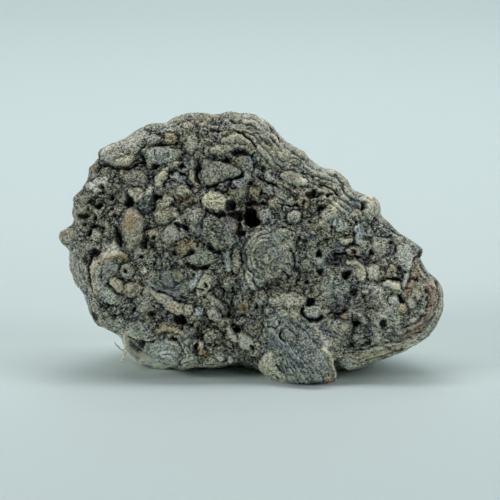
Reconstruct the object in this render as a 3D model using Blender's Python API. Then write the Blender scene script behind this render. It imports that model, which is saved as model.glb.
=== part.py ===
"""A chalcedony rose: one hand-sized stone of banded, knobbly chalcedony that stands on its lower edge.

The stone is a thick lens. Its face looks towards -Y and leans back a little. The face's outline, broad
mounds, lobes, ledges, knobs, clefts and pits are places on the face in millimetres: u runs to the right,
v up the face and w out of it. The back is a plainer rind. Two flat worn patches on one plane carry it:
a foot under the front edge and a wide heel behind.
"""

import math

import bmesh
import bpy
import numpy as np

NAME = "chalcedony_rose"
MM = 0.001
TURN = 2 * math.pi

# Driving sizes, in millimetres.
LEAN = math.radians(14)  # how far the face leans back from upright
FACE_RISE = 6.5  # from the widest outline forward to the face
BACK_DEPTH = 14.0  # from the widest outline back to the rind, at its thinnest
HEEL_DEPTH = 8.0  # how much deeper the stone is low on its left
HEEL = (-9.0, 12.0, 30.0, 26.0)  # u, v and half sizes of that deeper part
HEEL_SPREAD = 0.62  # how much wider the back is than a plain lens, low down
HEEL_TOWARDS = math.radians(246)  # the direction of that spread, seen from the hub
RIND_SWELL = 2.5  # how far the pale rind shows past the face at the lower left
RIND_TOWARDS, RIND_HALF = math.radians(227), math.radians(11.5)
FOOT_FORWARD = 3.5  # how far the foot's edge stands in front of the rest of the outline
FOOT = (12.0, 0.0, 10.0, 11.0)
WORN = 0.35  # thickness worn off the foot and the heel, which leaves them flat
FACE_SQUARE, BACK_SQUARE = 4.2, 2.7  # how full the lens is: 2 is an ellipse
MEAN_RADIUS = 31.0

# The face's outline, clockwise from the knob at the left, about a hub near its middle.
HUB = (-1.0, 26.5)
OUTLINE = (
    (-38.0, 29.1), (-37.5, 30.2), (-36.4, 30.9), (-35.1, 31.8), (-35.2, 33.7), (-35.0, 35.3), (-34.6, 37.3),
    (-33.4, 38.7), (-32.4, 40.5), (-31.8, 42.5), (-30.4, 44.5), (-29.4, 46.5), (-27.8, 47.5),
    (-25.0, 48.5), (-22.2, 50.5), (-19.0, 51.5), (-16.8, 51.5), (-14.4, 53.1), (-11.0, 53.7),
    (-7.2, 53.1), (-3.8, 53.9), (-1.8, 53.5), (1.4, 53.1), (4.0, 51.3), (5.6, 49.5),
    (7.4, 47.1), (10.6, 45.9), (11.8, 44.5), (14.0, 43.1), (17.2, 42.1), (19.0, 40.7),
    (20.4, 38.5), (22.4, 37.6), (24.4, 36.9), (25.6, 34.7), (25.4, 32.9), (27.2, 31.5),
    (29.8, 29.7), (32.4, 28.1), (34.2, 26.7), (34.0, 24.5), (35.4, 22.1), (37.4, 20.3),
    (38.6, 16.9), (38.2, 14.1), (37.2, 11.7), (34.8, 8.5), (32.4, 7.3), (30.2, 6.1),
    (27.6, 5.1), (24.0, 3.9), (21.2, 2.7), (19.4, 2.7), (17.8, 3.7), (16.6, 3.7),
    (17.0, 1.9), (16.0, 0.4), (12.0, 0.2), (7.0, 0.0), (4.0, 1.1), (1.6, 2.7),
    (-0.4, 4.1), (-2.0, 4.5), (-4.0, 3.8), (-7.0, 3.3), (-11.0, 3.1), (-13.4, 2.7),
    (-16.4, 3.5), (-19.0, 4.9), (-22.2, 7.1), (-24.6, 9.3), (-26.4, 9.7), (-28.6, 10.7),
    (-30.6, 11.7), (-31.8, 13.5), (-32.4, 15.9), (-33.4, 18.1), (-34.6, 19.7), (-35.6, 22.3),
    (-35.9, 24.9), (-35.8, 26.3), (-36.5, 27.1), (-37.6, 28.0),
)

# Broad mounds and hollows of the face: u, v, half width, half height, turn in degrees, rise.
MOUNDS = (
    (-10.0, 30.9, 9.6, 8.0, 0, 2.8),  # the crusted mound at the middle
    (3.2, 25.3, 6.0, 6.5, 0, 1.4),  # the main rosette
    (10.0, 6.5, 8.5, 10.0, 0, 1.1),  # the fan that ends in the foot
    (29.0, 16.5, 9.8, 9.8, 0, 1.6),  # the banded lobe at the right
    (-27.5, 21.5, 5.2, 6.0, 0, 1.4),  # the scroll at the lower left
    (-23.0, 30.5, 2.6, 5.4, 0, 1.0),  # the upright tan fold
    (-27.6, 45.0, 3.2, 2.8, 30, 0.9),
    (-2.0, 47.5, 17.0, 3.6, -6, 1.1),  # the stacked ledges of the top
    (24.0, 35.3, 2.6, 2.6, 0, 1.1),
    (-18.0, 10.5, 9.0, 5.0, -20, 1.0),
    (14.0, 33.0, 8.0, 5.0, -25, 0.9),
    (-15.6, 19.3, 4.8, 2.6, 0, -1.0),  # the smooth pool under the mound
    (-1.4, 33.4, 3.4, 5.2, 0, -1.4),  # the hollow round the deep hole
    (20.0, 25.0, 6.0, 3.0, 0, -0.8),
)

# Lobes and knobs that stand out of the crust: u, v, half width, half height, turn, rise.
LOBES = (
    (3.2, 25.3, 2.6, 3.0, 0, 1.5),
    (-27.6, 21.7, 3.2, 3.4, 0, 1.4),
    (-24.4, 22.3, 1.5, 1.5, 0, 1.1),
    (-23.0, 19.0, 1.4, 1.3, 0, 0.9),
    (-36.2, 29.3, 1.6, 1.6, 0, 1.3),
    (-30.4, 29.3, 1.4, 1.3, 0, 1.1),
    (8.6, 33.3, 1.5, 1.5, 0, 1.1),
    (13.0, 13.9, 1.5, 1.5, 0, 1.2),
    (28.4, 16.7, 1.3, 1.3, 0, 1.1),
    (-0.8, 8.5, 1.7, 1.7, 0, 1.3),
    (24.0, 35.5, 2.0, 1.9, 0, 1.2),
    (-17.4, 45.9, 2.2, 1.7, 0, 1.3),
    (9.2, 40.7, 2.6, 1.4, -30, 1.1),
    (-2.2, 40.3, 1.9, 1.9, 0, 1.2),
    (-5.6, 41.9, 3.8, 2.2, -8, 1.4),
    (-7.2, 36.1, 2.4, 2.1, 0, 1.3),
    (-2.2, 47.7, 3.6, 1.3, -4, 1.4),
    (-5.4, 45.9, 2.6, 1.1, -4, 1.0),
    (-17.6, 41.1, 1.7, 1.6, 0, 1.0),
    (-23.0, 37.5, 1.9, 1.8, 0, 1.1),
    (-20.4, 38.9, 1.5, 1.5, 0, 1.0),
    (-23.0, 30.5, 2.1, 4.6, 0, 1.2),
    (-28.0, 45.5, 2.4, 2.2, 0, 1.1),
    (-14.4, 15.7, 3.6, 1.4, -6, 1.0),
    (-16.8, 6.4, 3.4, 2.6, 20, 1.2),
    (8.0, 9.5, 1.8, 1.3, -20, 0.9),
    (20.4, 26.3, 1.4, 1.3, 0, 0.9),
    (27.6, 20.2, 1.6, 1.0, 10, 0.9),
    (21.4, 13.5, 1.4, 1.3, 0, 0.8),
)

# Pits and holes: u, v, half width, half height, depth.
PITS = (
    (0.4, 33.3, 1.7, 2.2, 3.6),
    (-3.8, 35.9, 1.4, 1.2, 1.8),
    (-13.4, 12.7, 1.7, 1.2, 2.6),
    (-21.6, 7.6, 1.4, 1.2, 2.4),
    (-30.0, 35.3, 1.1, 1.1, 1.5),
    (-24.0, 35.9, 1.2, 1.2, 1.6),
    (-26.2, 42.1, 1.1, 1.1, 1.3),
    (-18.8, 43.1, 1.1, 1.1, 1.3),
    (13.2, 25.7, 1.1, 1.1, 1.4),
    (18.8, 21.5, 1.2, 1.2, 1.6),
    (11.0, 20.7, 1.1, 1.1, 1.3),
    (11.8, 16.5, 1.1, 1.1, 1.4),
    (21.4, 11.7, 1.2, 1.2, 1.6),
    (-23.0, 15.1, 1.1, 1.1, 1.2),
    (-19.4, 13.9, 1.1, 1.1, 1.2),
    (-30.4, 13.5, 1.1, 1.1, 1.2),
    (-2.8, 10.7, 1.1, 1.2, 1.6),
    (-4.0, 14.1, 1.2, 1.6, 1.5),
    (5.0, 43.3, 1.4, 0.9, 1.2),
)

# Clefts between lobes, each a line on the face: half width, depth, then its points.
CLEFTS = (
    (0.8, 1.8, (-1.2, 28.6), (-1.7, 25.0), (-1.0, 21.2)),
    (0.8, 1.3, (2.0, 21.4), (5.0, 19.6), (7.2, 17.3)),
    (0.9, 2.0, (-8.8, 38.8), (-5.0, 39.9), (-1.6, 41.1)),
    (0.9, 2.0, (-13.6, 23.5), (-11.0, 23.2), (-8.4, 23.6)),
    (0.8, 1.8, (-31.7, 25.2), (-31.2, 21.5), (-30.2, 17.5), (-29.2, 16.2)),
    (0.8, 1.5, (10.2, 15.3), (10.8, 13.5), (13.0, 12.3), (15.0, 13.5), (19.2, 14.1)),
    (0.8, 1.4, (-20.2, 47.1), (-17.0, 47.8), (-13.8, 47.0)),
    (0.8, 1.3, (-4.6, 49.6), (-1.0, 49.4), (1.6, 48.2)),
    (0.8, 1.3, (1.8, 41.0), (5.2, 39.7), (10.2, 37.2)),
    (0.8, 1.6, (16.4, 25.5), (19.0, 25.4), (21.6, 25.8)),
    (0.8, 1.2, (37.2, 16.6), (36.4, 12.9), (34.0, 10.6), (29.8, 9.4)),
    (0.8, 1.3, (17.2, 3.6), (17.9, 7.2), (17.0, 10.6)),
    (0.8, 1.2, (1.2, 3.4), (2.6, 7.6), (4.4, 10.4)),
)

# Lumps of the back: u, v, w, reach, rise.
BACK_LUMPS = (
    (6.0, 4.0, -14.0, 10.0, 1.2),
    (8.0, 34.0, -15.0, 13.0, 1.6),
    (-20.0, 38.0, -13.0, 11.0, 1.4),
    (26.0, 18.0, -12.0, 10.0, 1.4),
    (-4.0, 22.0, -23.0, 9.0, -1.3),
)

# Crust that fills the space between the named lobes: size of a lump, rise, seed.
FACE_CRUST = (3.4, 0.8, 5)
BACK_CRUST = (7.0, 1.2, 9)
SIDE_LEDGES = (3.6, 0.55)  # spacing and rise of the ledges stacked round the side
EDGE_SHARE = 0.35  # how much of the relief is left at the outline, so that it keeps its shape

FACE_CELLS = 140  # cells across the face's grid
BACK_CELLS = FACE_CELLS // 2  # the back is half as dense and shares the rim
KEPT_SHARE = 0.19  # share of the triangles kept, most of them where the surface bends

STONE_COLOUR = (0.16, 0.165, 0.14, 1.0)
STONE_ROUGHNESS = 0.62


def outline_radius(angle):
    """Distance from the hub to the outline at each angle: a smooth closed curve through OUTLINE."""
    knots = np.array(OUTLINE) - HUB
    at = np.arctan2(knots[:, 1], knots[:, 0]) % TURN
    order = np.argsort(at)
    at, reach = at[order], np.hypot(knots[:, 0], knots[:, 1])[order]
    at = np.concatenate([at[-2:] - TURN, at, at[:2] + TURN])
    reach = np.concatenate([reach[-2:], reach, reach[:2]])
    slope = np.gradient(reach, at)
    angle = angle % TURN
    i = np.clip(np.searchsorted(at, angle, side="right") - 1, 0, len(at) - 2)
    span = at[i + 1] - at[i]
    t = (angle - at[i]) / span
    return (
        reach[i] * (1 + 2 * t) * (1 - t) ** 2
        + slope[i] * span * t * (1 - t) ** 2
        + reach[i + 1] * t * t * (3 - 2 * t)
        + slope[i + 1] * span * t * t * (t - 1)
    )


def plain_radius(angle):
    """The outline's radius with its notches and knobs evened out."""
    return np.mean([outline_radius(angle + turn) for turn in np.linspace(-0.3, 0.3, 9)], axis=0)


def disk_grid(cells):
    """A square grid wrapped onto a disk: each corner's ring, 0 to 1, and its angle."""
    side = np.linspace(-1, 1, cells + 1)
    a, b = np.meshgrid(side, side)
    wide = np.abs(a) > np.abs(b)
    ring = np.where(wide, a, b)
    other = np.where(wide, b, a)
    turn = other / np.where(ring == 0, 1, ring) * math.pi / 4
    angle = np.where(wide, turn, math.pi / 2 - turn) + np.where(ring < 0, math.pi, 0)
    return np.abs(ring), angle


def lens_profile(ring, square, rise):
    """Share of the radius and of the rise at each ring, evenly spaced along the lens's curve."""
    bend = np.linspace(0, math.pi / 2, 400)
    across = np.sin(bend) ** (2 / square)
    up = np.cos(bend) ** (2 / square)
    steps = np.hypot(np.diff(across) * MEAN_RADIUS, np.diff(up) * rise)
    length = np.concatenate([[0], np.cumsum(steps)])
    length /= length[-1]
    return np.interp(ring, length, across), np.interp(ring, length, up)


def dome(u, v, centre, half):
    """1 at the centre of an ellipse, falling smoothly to 0 at its edge."""
    return np.clip(1 - ellipse(u, v, centre, half), 0, 1) ** 2


def cap(u, v, centre, half, turn):
    """1 at the centre of an ellipse, falling ever more steeply to 0 at its edge."""
    return np.clip(1 - ellipse(u, v, centre, half, turn) ** 1.5, 0, 1)


def ellipse(u, v, centre, half, turn=0.0):
    """Squared distance from an ellipse's centre, 1 on its edge."""
    c, s = math.cos(math.radians(turn)), math.sin(math.radians(turn))
    du, dv = u - centre[0], v - centre[1]
    return ((du * c + dv * s) / half[0]) ** 2 + ((dv * c - du * s) / half[1]) ** 2


def line_distance(u, v, points):
    """Distance to a line through points."""
    nearest = np.full(u.shape, np.inf)
    for (u0, v0), (u1, v1) in zip(points, points[1:]):
        du, dv = u1 - u0, v1 - v0
        t = np.clip(((u - u0) * du + (v - v0) * dv) / (du * du + dv * dv), 0, 1)
        nearest = np.minimum(nearest, np.hypot(u - u0 - t * du, v - v0 - t * dv))
    return nearest


def scatter(cell, seed):
    """A fixed random number from 0 to 1 for each cell of a lattice, by mixing its whole-number place."""
    i, j, k = (cell[:, axis].astype(np.uint32) for axis in range(3))
    start = np.uint32(seed * 974634777 % 2**32)
    h = i * np.uint32(374761393) + j * np.uint32(668265263) + k * np.uint32(1442695041) + start
    h = (h ^ (h >> np.uint32(13))) * np.uint32(1274126177)
    return (h ^ (h >> np.uint32(16))) / 2.0**32


def crust(points, size, seed):
    """Rounded lumps packed side by side: 1 at a lump's top and about 0 where lumps meet."""
    place = points / size
    cell = np.floor(place).astype(np.int64)
    nearest = np.full(len(points), np.inf)
    for step in np.ndindex(3, 3, 3):
        near = cell + np.array(step) - 1
        centre = near + np.stack([scatter(near, seed + n) for n in range(3)], 1)
        nearest = np.minimum(nearest, ((place - centre) ** 2).sum(1))
    return np.clip(1 - nearest / 0.7, -0.3, 1)


def face_relief(u, v, points):
    """Height of mounds, lobes, crust, clefts and pits over the plain lens."""
    size, rise, seed = FACE_CRUST
    lumps = rise * crust(points, size, seed)
    for cu, cv, ru, rv, turn, height in LOBES:
        near = 1 - ellipse(u, v, (cu, cv), (ru, rv), turn)
        lumps = np.maximum(lumps, np.where(near > -0.4, height * near, lumps))
    height = lumps
    for cu, cv, ru, rv, turn, mound in MOUNDS:
        height = height + mound * cap(u, v, (cu, cv), (ru, rv), turn)
    for width, depth, *points_on_line in CLEFTS:
        height = height - depth * np.exp(-((line_distance(u, v, points_on_line) / width) ** 2))
    for cu, cv, ru, rv, depth in PITS:
        height = height - depth * np.exp(-(ellipse(u, v, (cu, cv), (ru, rv)) ** 2))
    return height


def back_relief(points, up):
    """Height of the rind's rounded lumps and side ledges, in place of the face's lobes."""
    size, rise, seed = BACK_CRUST
    height = rise * crust(points, size, seed)
    spacing, step = SIDE_LEDGES
    layer = points[:, 2] / spacing + 0.4 * crust(points, 2 * size, seed + 3)
    height = height + step * (1 - up) * (0.5 - np.mod(layer, 1.0))
    for u, v, w, reach, lump in BACK_LUMPS:
        apart = ((points - (u, v, w)) ** 2).sum(1) / reach**2
        height = height + lump * np.clip(1 - apart, 0, 1) ** 2
    return height


def half_lens(cells, front):
    """Corners of the face's or the back's grid, as an array of (u, v, w)."""
    ring, angle = (values.ravel() for values in disk_grid(cells))
    square, rise = (FACE_SQUARE, FACE_RISE) if front else (BACK_SQUARE, BACK_DEPTH)
    across, up = lens_profile(ring, square, rise)
    radius = outline_radius(angle)
    if not front:
        plain_share = np.clip(up / 0.4, 0, 1)
        radius = radius + (plain_radius(angle) - radius) * plain_share
        spread = np.clip(np.cos(angle - HEEL_TOWARDS), 0, 1) ** 2
        radius = radius * (1 + HEEL_SPREAD * spread * up**3)
        off = (angle - RIND_TOWARDS + math.pi) % TURN - math.pi
        radius = radius + RIND_SWELL * np.clip(1 - (off / RIND_HALF) ** 2, 0, 1) * np.clip(up / 0.2, 0, 1)
    u = HUB[0] + across * radius * np.cos(angle)
    v = HUB[1] + across * radius * np.sin(angle)
    deep = BACK_DEPTH + HEEL_DEPTH * dome(u, v, HEEL[:2], HEEL[2:])
    mid = FOOT_FORWARD * dome(u, v, FOOT[:2], FOOT[2:])
    w = mid + up * (FACE_RISE if front else -deep)
    plain = np.stack([u, v, w], 1)
    side = across ** (square - 1) / radius
    ahead = up ** (square - 1) / (FACE_RISE if front else deep)
    scale = np.hypot(side, ahead)
    out = np.stack([side * np.cos(angle), side * np.sin(angle), ahead if front else -ahead], 1)
    relief = face_relief(u, v, plain) if front else back_relief(plain, up)
    share = EDGE_SHARE + (1 - EDGE_SHARE) * np.clip((1 - across) / 0.12, 0, 1)
    return plain + out / scale[:, None] * (relief * share)[:, None]


def fans(cells, corner, between, front):
    """Triangles of a wrapped grid. Each cell is a fan from its corner nearest the hub."""
    half = cells / 2
    triangles = []
    for row in range(cells):
        for column in range(cells):
            loop = [(row, column), (row, column + 1), (row + 1, column + 1), (row + 1, column)]
            from_hub = [(r - half) ** 2 + (c - half) ** 2 for r, c in loop]
            first = from_hub.index(min(from_hub))
            loop = loop[first:] + loop[:first]
            ring = []
            for here, there in zip(loop, loop[1:] + loop[:1]):
                ring.append(corner[here])
                if (here, there) in between:
                    ring.append(between[here, there])
            for a, b in zip(ring[1:], ring[2:]):
                triangles.append((ring[0], a, b) if front else (ring[0], b, a))
    return triangles


def rim_midpoints(cells, front_corner):
    """The face's rim corners that lie halfway along the back's rim edges."""
    between = {}
    for n in range(cells):
        for edge in (((0, n), (0, n + 1)), ((cells, n), (cells, n + 1)),
                     ((n, 0), (n + 1, 0)), ((n, cells), (n + 1, cells))):
            (r0, c0), (r1, c1) = edge
            middle = front_corner[r0 + r1, c0 + c1]
            between[edge] = between[edge[::-1]] = middle
    return between


def stone_mesh():
    """The whole stone as points in face millimetres and triangles."""
    face = half_lens(FACE_CELLS, True)
    back = half_lens(BACK_CELLS, False)
    front_corner = np.arange(len(face)).reshape(FACE_CELLS + 1, FACE_CELLS + 1)
    back_corner = np.full((BACK_CELLS + 1, BACK_CELLS + 1), -1)
    inner = np.zeros_like(back_corner, bool)
    inner[1:-1, 1:-1] = True
    back_corner[inner] = len(face) + np.arange(inner.sum())
    back_corner[~inner] = front_corner[::2, ::2][~inner]
    points = np.concatenate([face, back[inner.ravel()]])
    triangles = fans(FACE_CELLS, front_corner, {}, True)
    triangles += fans(BACK_CELLS, back_corner, rim_midpoints(BACK_CELLS, front_corner), False)
    return points, triangles


def stood_up(points):
    """Face millimetres turned to upright millimetres: the face leans back and looks towards -Y."""
    u, v, w = points.T
    c, s = math.cos(LEAN), math.sin(LEAN)
    return np.stack([u, v * s - w * c, v * c + w * s], 1)


def wear_flat(mesh, height):
    """Cuts the stone off at a height and closes the cut, which leaves the flat foot and heel."""
    body = bmesh.new()
    body.from_mesh(mesh)
    everything = body.verts[:] + body.edges[:] + body.faces[:]
    bmesh.ops.bisect_plane(
        body, geom=everything, dist=1e-6, plane_co=(0, 0, height), plane_no=(0, 0, -1), clear_outer=True
    )
    bmesh.ops.holes_fill(body, edges=[edge for edge in body.edges if edge.is_boundary])
    body.to_mesh(mesh)
    body.free()


def stone_material():
    material = bpy.data.materials.new("grey_chalcedony")
    material.use_nodes = True
    shader = material.node_tree.nodes["Principled BSDF"]
    shader.inputs["Base Color"].default_value = STONE_COLOUR
    shader.inputs["Roughness"].default_value = STONE_ROUGHNESS
    shader.inputs["Metallic"].default_value = 0.0
    return material


def thinned(mesh):
    """A copy of the mesh with fewer triangles: flat stretches get large ones."""
    carrier = bpy.data.objects.new("fine_surface", mesh)
    bpy.context.scene.collection.objects.link(carrier)
    carrier.modifiers.new("thin", "DECIMATE").ratio = KEPT_SHARE
    graph = bpy.context.evaluated_depsgraph_get()
    light = bpy.data.meshes.new_from_object(carrier.evaluated_get(graph))
    bpy.data.objects.remove(carrier, do_unlink=True)
    return light


def stone():
    points, triangles = stone_mesh()
    fine = bpy.data.meshes.new("fine_surface")
    fine.from_pydata((stood_up(points) * MM).tolist(), [], triangles)
    mesh = thinned(fine)
    mesh.name = NAME
    foot_edge = stood_up(np.array([[FOOT[0], 0.2, FOOT_FORWARD]]))[0, 2] * MM
    wear_flat(mesh, foot_edge + WORN * MM)
    corners = np.array([vertex.co for vertex in mesh.vertices])
    low, high = corners.min(0), corners.max(0)
    middle = (low + high) / 2
    for vertex in mesh.vertices:
        vertex.co = (vertex.co[0] - middle[0], vertex.co[1] - middle[1], vertex.co[2] - low[2])
    mesh.shade_smooth()
    mesh.materials.append(stone_material())
    rose = bpy.data.objects.new(NAME, mesh)
    bpy.context.scene.collection.objects.link(rose)


def clear_scene():
    for thing in list(bpy.data.objects):
        bpy.data.objects.remove(thing, do_unlink=True)


clear_scene()
stone()
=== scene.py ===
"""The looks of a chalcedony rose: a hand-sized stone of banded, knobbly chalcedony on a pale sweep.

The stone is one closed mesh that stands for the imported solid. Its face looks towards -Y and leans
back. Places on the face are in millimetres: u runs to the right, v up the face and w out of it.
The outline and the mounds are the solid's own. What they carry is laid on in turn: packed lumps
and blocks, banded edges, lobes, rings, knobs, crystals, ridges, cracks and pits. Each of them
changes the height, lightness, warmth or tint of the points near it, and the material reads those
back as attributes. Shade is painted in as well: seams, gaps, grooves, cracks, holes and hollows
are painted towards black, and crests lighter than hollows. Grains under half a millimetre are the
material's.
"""

import math

import bpy
import numpy as np
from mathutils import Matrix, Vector


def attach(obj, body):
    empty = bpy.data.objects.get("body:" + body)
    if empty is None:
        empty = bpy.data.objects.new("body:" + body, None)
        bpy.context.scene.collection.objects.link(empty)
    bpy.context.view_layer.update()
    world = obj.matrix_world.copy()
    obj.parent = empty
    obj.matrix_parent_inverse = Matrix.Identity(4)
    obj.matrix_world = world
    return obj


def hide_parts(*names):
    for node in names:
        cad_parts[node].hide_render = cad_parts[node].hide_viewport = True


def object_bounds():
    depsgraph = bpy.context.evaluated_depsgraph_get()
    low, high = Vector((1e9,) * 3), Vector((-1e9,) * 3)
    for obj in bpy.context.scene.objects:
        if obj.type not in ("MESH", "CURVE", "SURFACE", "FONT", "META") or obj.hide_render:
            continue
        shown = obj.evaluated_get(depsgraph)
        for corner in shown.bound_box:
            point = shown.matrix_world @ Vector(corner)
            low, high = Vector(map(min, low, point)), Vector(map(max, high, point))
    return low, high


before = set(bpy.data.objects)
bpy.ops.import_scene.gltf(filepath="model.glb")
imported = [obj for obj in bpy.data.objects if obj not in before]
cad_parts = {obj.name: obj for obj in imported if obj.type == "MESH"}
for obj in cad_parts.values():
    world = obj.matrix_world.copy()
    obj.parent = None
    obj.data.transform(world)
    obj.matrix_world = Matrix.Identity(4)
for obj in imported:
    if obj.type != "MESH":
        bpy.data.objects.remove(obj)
cad_low, cad_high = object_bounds()

NODE = "chalcedony_rose"
MM = 0.001
TURN = 2 * math.pi

# The stone's body, as in the solid, in millimetres.
LEAN = math.radians(14)  # how far the face leans back from upright
FACE_RISE = 6.5  # from the widest outline forward to the face
BACK_DEPTH = 14.0  # from the widest outline back to the rind, at its thinnest
HEEL_DEPTH = 8.0  # how much deeper the stone is low on its left
HEEL = (-9.0, 12.0, 30.0, 26.0)  # u, v and half sizes of that deeper part
HEEL_SPREAD = 0.62  # how much wider the back is than a plain lens, low down
HEEL_TOWARDS = math.radians(246)  # the direction of that spread, seen from the hub
RIND_SWELL = 2.5  # how far the pale rind shows past the face at the lower left
RIND_TOWARDS, RIND_HALF = math.radians(227), math.radians(11.5)
SWELL_BY, PLAIN_BY = 0.2, 0.4  # shares of the depth by which the swell is out, the outline even
FOOT_FORWARD = 3.5  # how far the foot's edge stands in front of the rest of the outline
FOOT = (12.0, 0.0, 10.0, 11.0)  # u, v and half sizes of the foot
FOOT_EDGE = 0.2  # the outline's height at the foot
WORN = 0.35  # thickness worn off the foot and the heel, which leaves them flat
FACE_SQUARE, BACK_SQUARE = 4.2, 2.7  # how full the lens is: 2 is an ellipse
MEAN_RADIUS = 31.0  # the outline's, roughly
LENS_STEPS = 400  # points along the lens's curve when it is measured
# The face's outline, clockwise from the knob at the left, about a hub near its middle.
HUB = (-1.0, 26.5)
OUTLINE = (
    (-38.0, 29.1), (-37.5, 30.2), (-36.4, 30.9), (-35.1, 31.8), (-35.2, 33.7), (-35.0, 35.3),
    (-34.6, 37.3), (-33.4, 38.7), (-32.4, 40.5), (-31.8, 42.5), (-30.4, 44.5), (-29.4, 46.5),
    (-27.8, 47.5),
    (-25.0, 48.5), (-22.2, 50.5), (-19.0, 51.5), (-16.8, 51.5), (-14.4, 53.1), (-11.0, 53.7),
    (-7.2, 53.1), (-3.8, 53.9), (-1.8, 53.5), (1.4, 53.1), (4.0, 51.3), (5.6, 49.5),
    (7.4, 47.1), (10.6, 45.9), (11.8, 44.5), (14.0, 43.1), (17.2, 42.1), (19.0, 40.7),
    (20.4, 38.5), (22.4, 37.6), (24.4, 36.9), (25.6, 34.7), (25.4, 32.9), (27.2, 31.5),
    (29.8, 29.7), (32.4, 28.1), (34.2, 26.7), (34.0, 24.5), (35.4, 22.1), (37.4, 20.3),
    (38.6, 16.9), (38.2, 14.1), (37.2, 11.7), (34.8, 8.5), (32.4, 7.3), (30.2, 6.1),
    (27.6, 5.1), (24.0, 3.9), (21.2, 2.7), (19.4, 2.7), (17.8, 3.7), (16.6, 3.7),
    (17.0, 1.9), (16.0, 0.4), (12.0, 0.2), (7.0, 0.0), (4.0, 1.1), (1.6, 2.7),
    (-0.4, 4.1), (-2.0, 4.5), (-4.0, 3.8), (-7.0, 3.3), (-11.0, 3.1), (-13.4, 2.7),
    (-16.4, 3.5), (-19.0, 4.9), (-22.2, 7.1), (-24.6, 9.3), (-26.4, 9.7), (-28.6, 10.7),
    (-30.6, 11.7), (-31.8, 13.5), (-32.4, 15.9), (-33.4, 18.1), (-34.6, 19.7), (-35.6, 22.3),
    (-35.9, 24.9), (-35.8, 26.3), (-36.5, 27.1), (-37.6, 28.0),
)

# Broad mounds and hollows of the face: u, v, half width, half height, turn in degrees, rise.
MOUNDS = (
    (-10.0, 30.9, 9.6, 8.0, 0, 2.8),  # the crusted mound at the middle
    (3.2, 25.3, 6.0, 6.5, 0, 1.4),  # the main rosette
    (10.0, 6.5, 8.5, 10.0, 0, 1.1),  # the fan that ends in the foot
    (29.0, 16.5, 9.8, 9.8, 0, 1.6),  # the banded lobe at the right
    (-27.5, 21.5, 5.2, 6.0, 0, 1.4),  # the scroll at the lower left
    (-23.0, 30.5, 2.6, 5.4, 0, 1.0),  # the upright tan fold
    (-27.6, 45.0, 3.2, 2.8, 30, 0.9),
    (-2.0, 47.5, 17.0, 3.6, -6, 1.1),  # the stacked ledges of the top
    (24.0, 35.3, 2.6, 2.6, 0, 1.1),
    (-18.0, 10.5, 9.0, 5.0, -20, 1.0),
    (14.0, 33.0, 8.0, 5.0, -25, 0.9),
    (-15.6, 19.3, 4.8, 2.6, 0, -1.0),  # the smooth pool under the mound
    (-1.4, 33.4, 3.4, 5.2, 0, -1.4),  # the hollow round the deep hole
    (20.0, 25.0, 6.0, 3.0, 0, -0.8),
)

# Lumps of the back: u, v, w, reach, rise.
BACK_LUMPS = (
    (6.0, 4.0, -14.0, 10.0, 1.2),
    (8.0, 34.0, -15.0, 13.0, 1.6),
    (-20.0, 38.0, -13.0, 11.0, 1.4),
    (26.0, 18.0, -12.0, 10.0, 1.4),
    (-4.0, 22.0, -23.0, 9.0, -1.3),
)
EDGE_SHARE = 0.35  # how much of the relief is left at the outline, so that it keeps its shape
EDGE_FADE = 0.12  # the part of the radius over which it fades to that

# Packed lumps that fill the space between named things: size, rise, crease between two, seed.
FACE_LUMPS = (
    (3.4, 0.80, 0.12, 5),
    (1.7, 0.26, 0.10, 31),
    (0.9, 0.11, 0.04, 57),
)
LUMP_RINGS = 0.85  # spacing of the rings inside the large ones
# Broken, slanted blocks among them: size, how far they stand up or slant, seed.
FACE_BLOCKS = ((2.3, 0.34, 71), (1.1, 0.18, 83), (0.6, 0.06, 91))
# Winding gaps in the crust: width of the bends, half width of a gap, depth, seed.
FACE_GAPS = ((2.6, 0.055, 0.55, 131), (1.4, 0.06, 0.35, 141))
# Packed lumps of the back: size, rise, crease, seed.
BACK_CRUST = ((7.0, 1.2, 0.0, 9), (3.0, 0.45, 0.15, 41), (1.4, 0.2, 0.08, 67))
SIDE_LEDGES = (3.6, 0.55)  # spacing and rise of the ledges stacked round the side
SMOOTH_HEEL = ((-22.0, 6.0, -10.0), 13.0)  # middle and reach of the smooth pale rind low behind
# The cave is the gap between the rind and the face; its middle is painted near black as painted
# shade.
CAVE = ((-22.0, 7.6), (2.0, 1.3), -7.0)  # middle, half sizes, and the w behind which it fades

# Bands that run along the outline: from, to in degrees about the hub, how far in, spacing, relief,
# tint, amount, seed.
EDGE_BANDS = (
    (14, 100, 6.4, 1.05, 0.50, "pale", 0.2, 201),
    (112, 150, 2.2, 0.66, 0.24, "pale", 0.2, 211),
    (165, 232, 3.0, 0.70, 0.28, "pale", 0.35, 221),
    (232, 262, 1.6, 0.60, 0.22, "tan", 0.2, 231),
    (-56, 6, 4.2, 1.00, 0.36, "tan", 0.2, 241),
)
EDGE_STEPS, EDGE_SPREAD = 240, 0.05  # the evened outline that they follow: sides, radians evened

# Waves that take the straightness out of what is laid on the stone: size, amount.
WAVER = ((3.0, 0.16), (1.1, 0.12), (0.55, 0.10))
RAGGED = ((0.9, 0.24), (0.45, 0.12))  # on top of them, for cracks, ridges and the lobes' edges
WAVER_SEED, RAGGED_SEED, STIR_SEEDS = 101, 181, (151, 153, 155)
FORM_SEED, KNOB_SEED, GRIT_SEED, RIND_SEED = 171, 161, 111, 121
FORM_MARGIN = 0.8  # how far outside its corners a lobe can reach
FORM_EDGE = 0.14  # half the width over which its edge blends in

FACE_CELLS = 280  # cells across the face's grid
BACK_CELLS = FACE_CELLS // 2
# What counts as a hollow or a crest, which get painted shade and painted light: cells looked at
# each way, and depth that counts in full.
FACE_REACHES, BACK_REACHES = (7, 2), (4, 1)
HOLLOW_DEPTHS = (1.0, 0.3)

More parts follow.
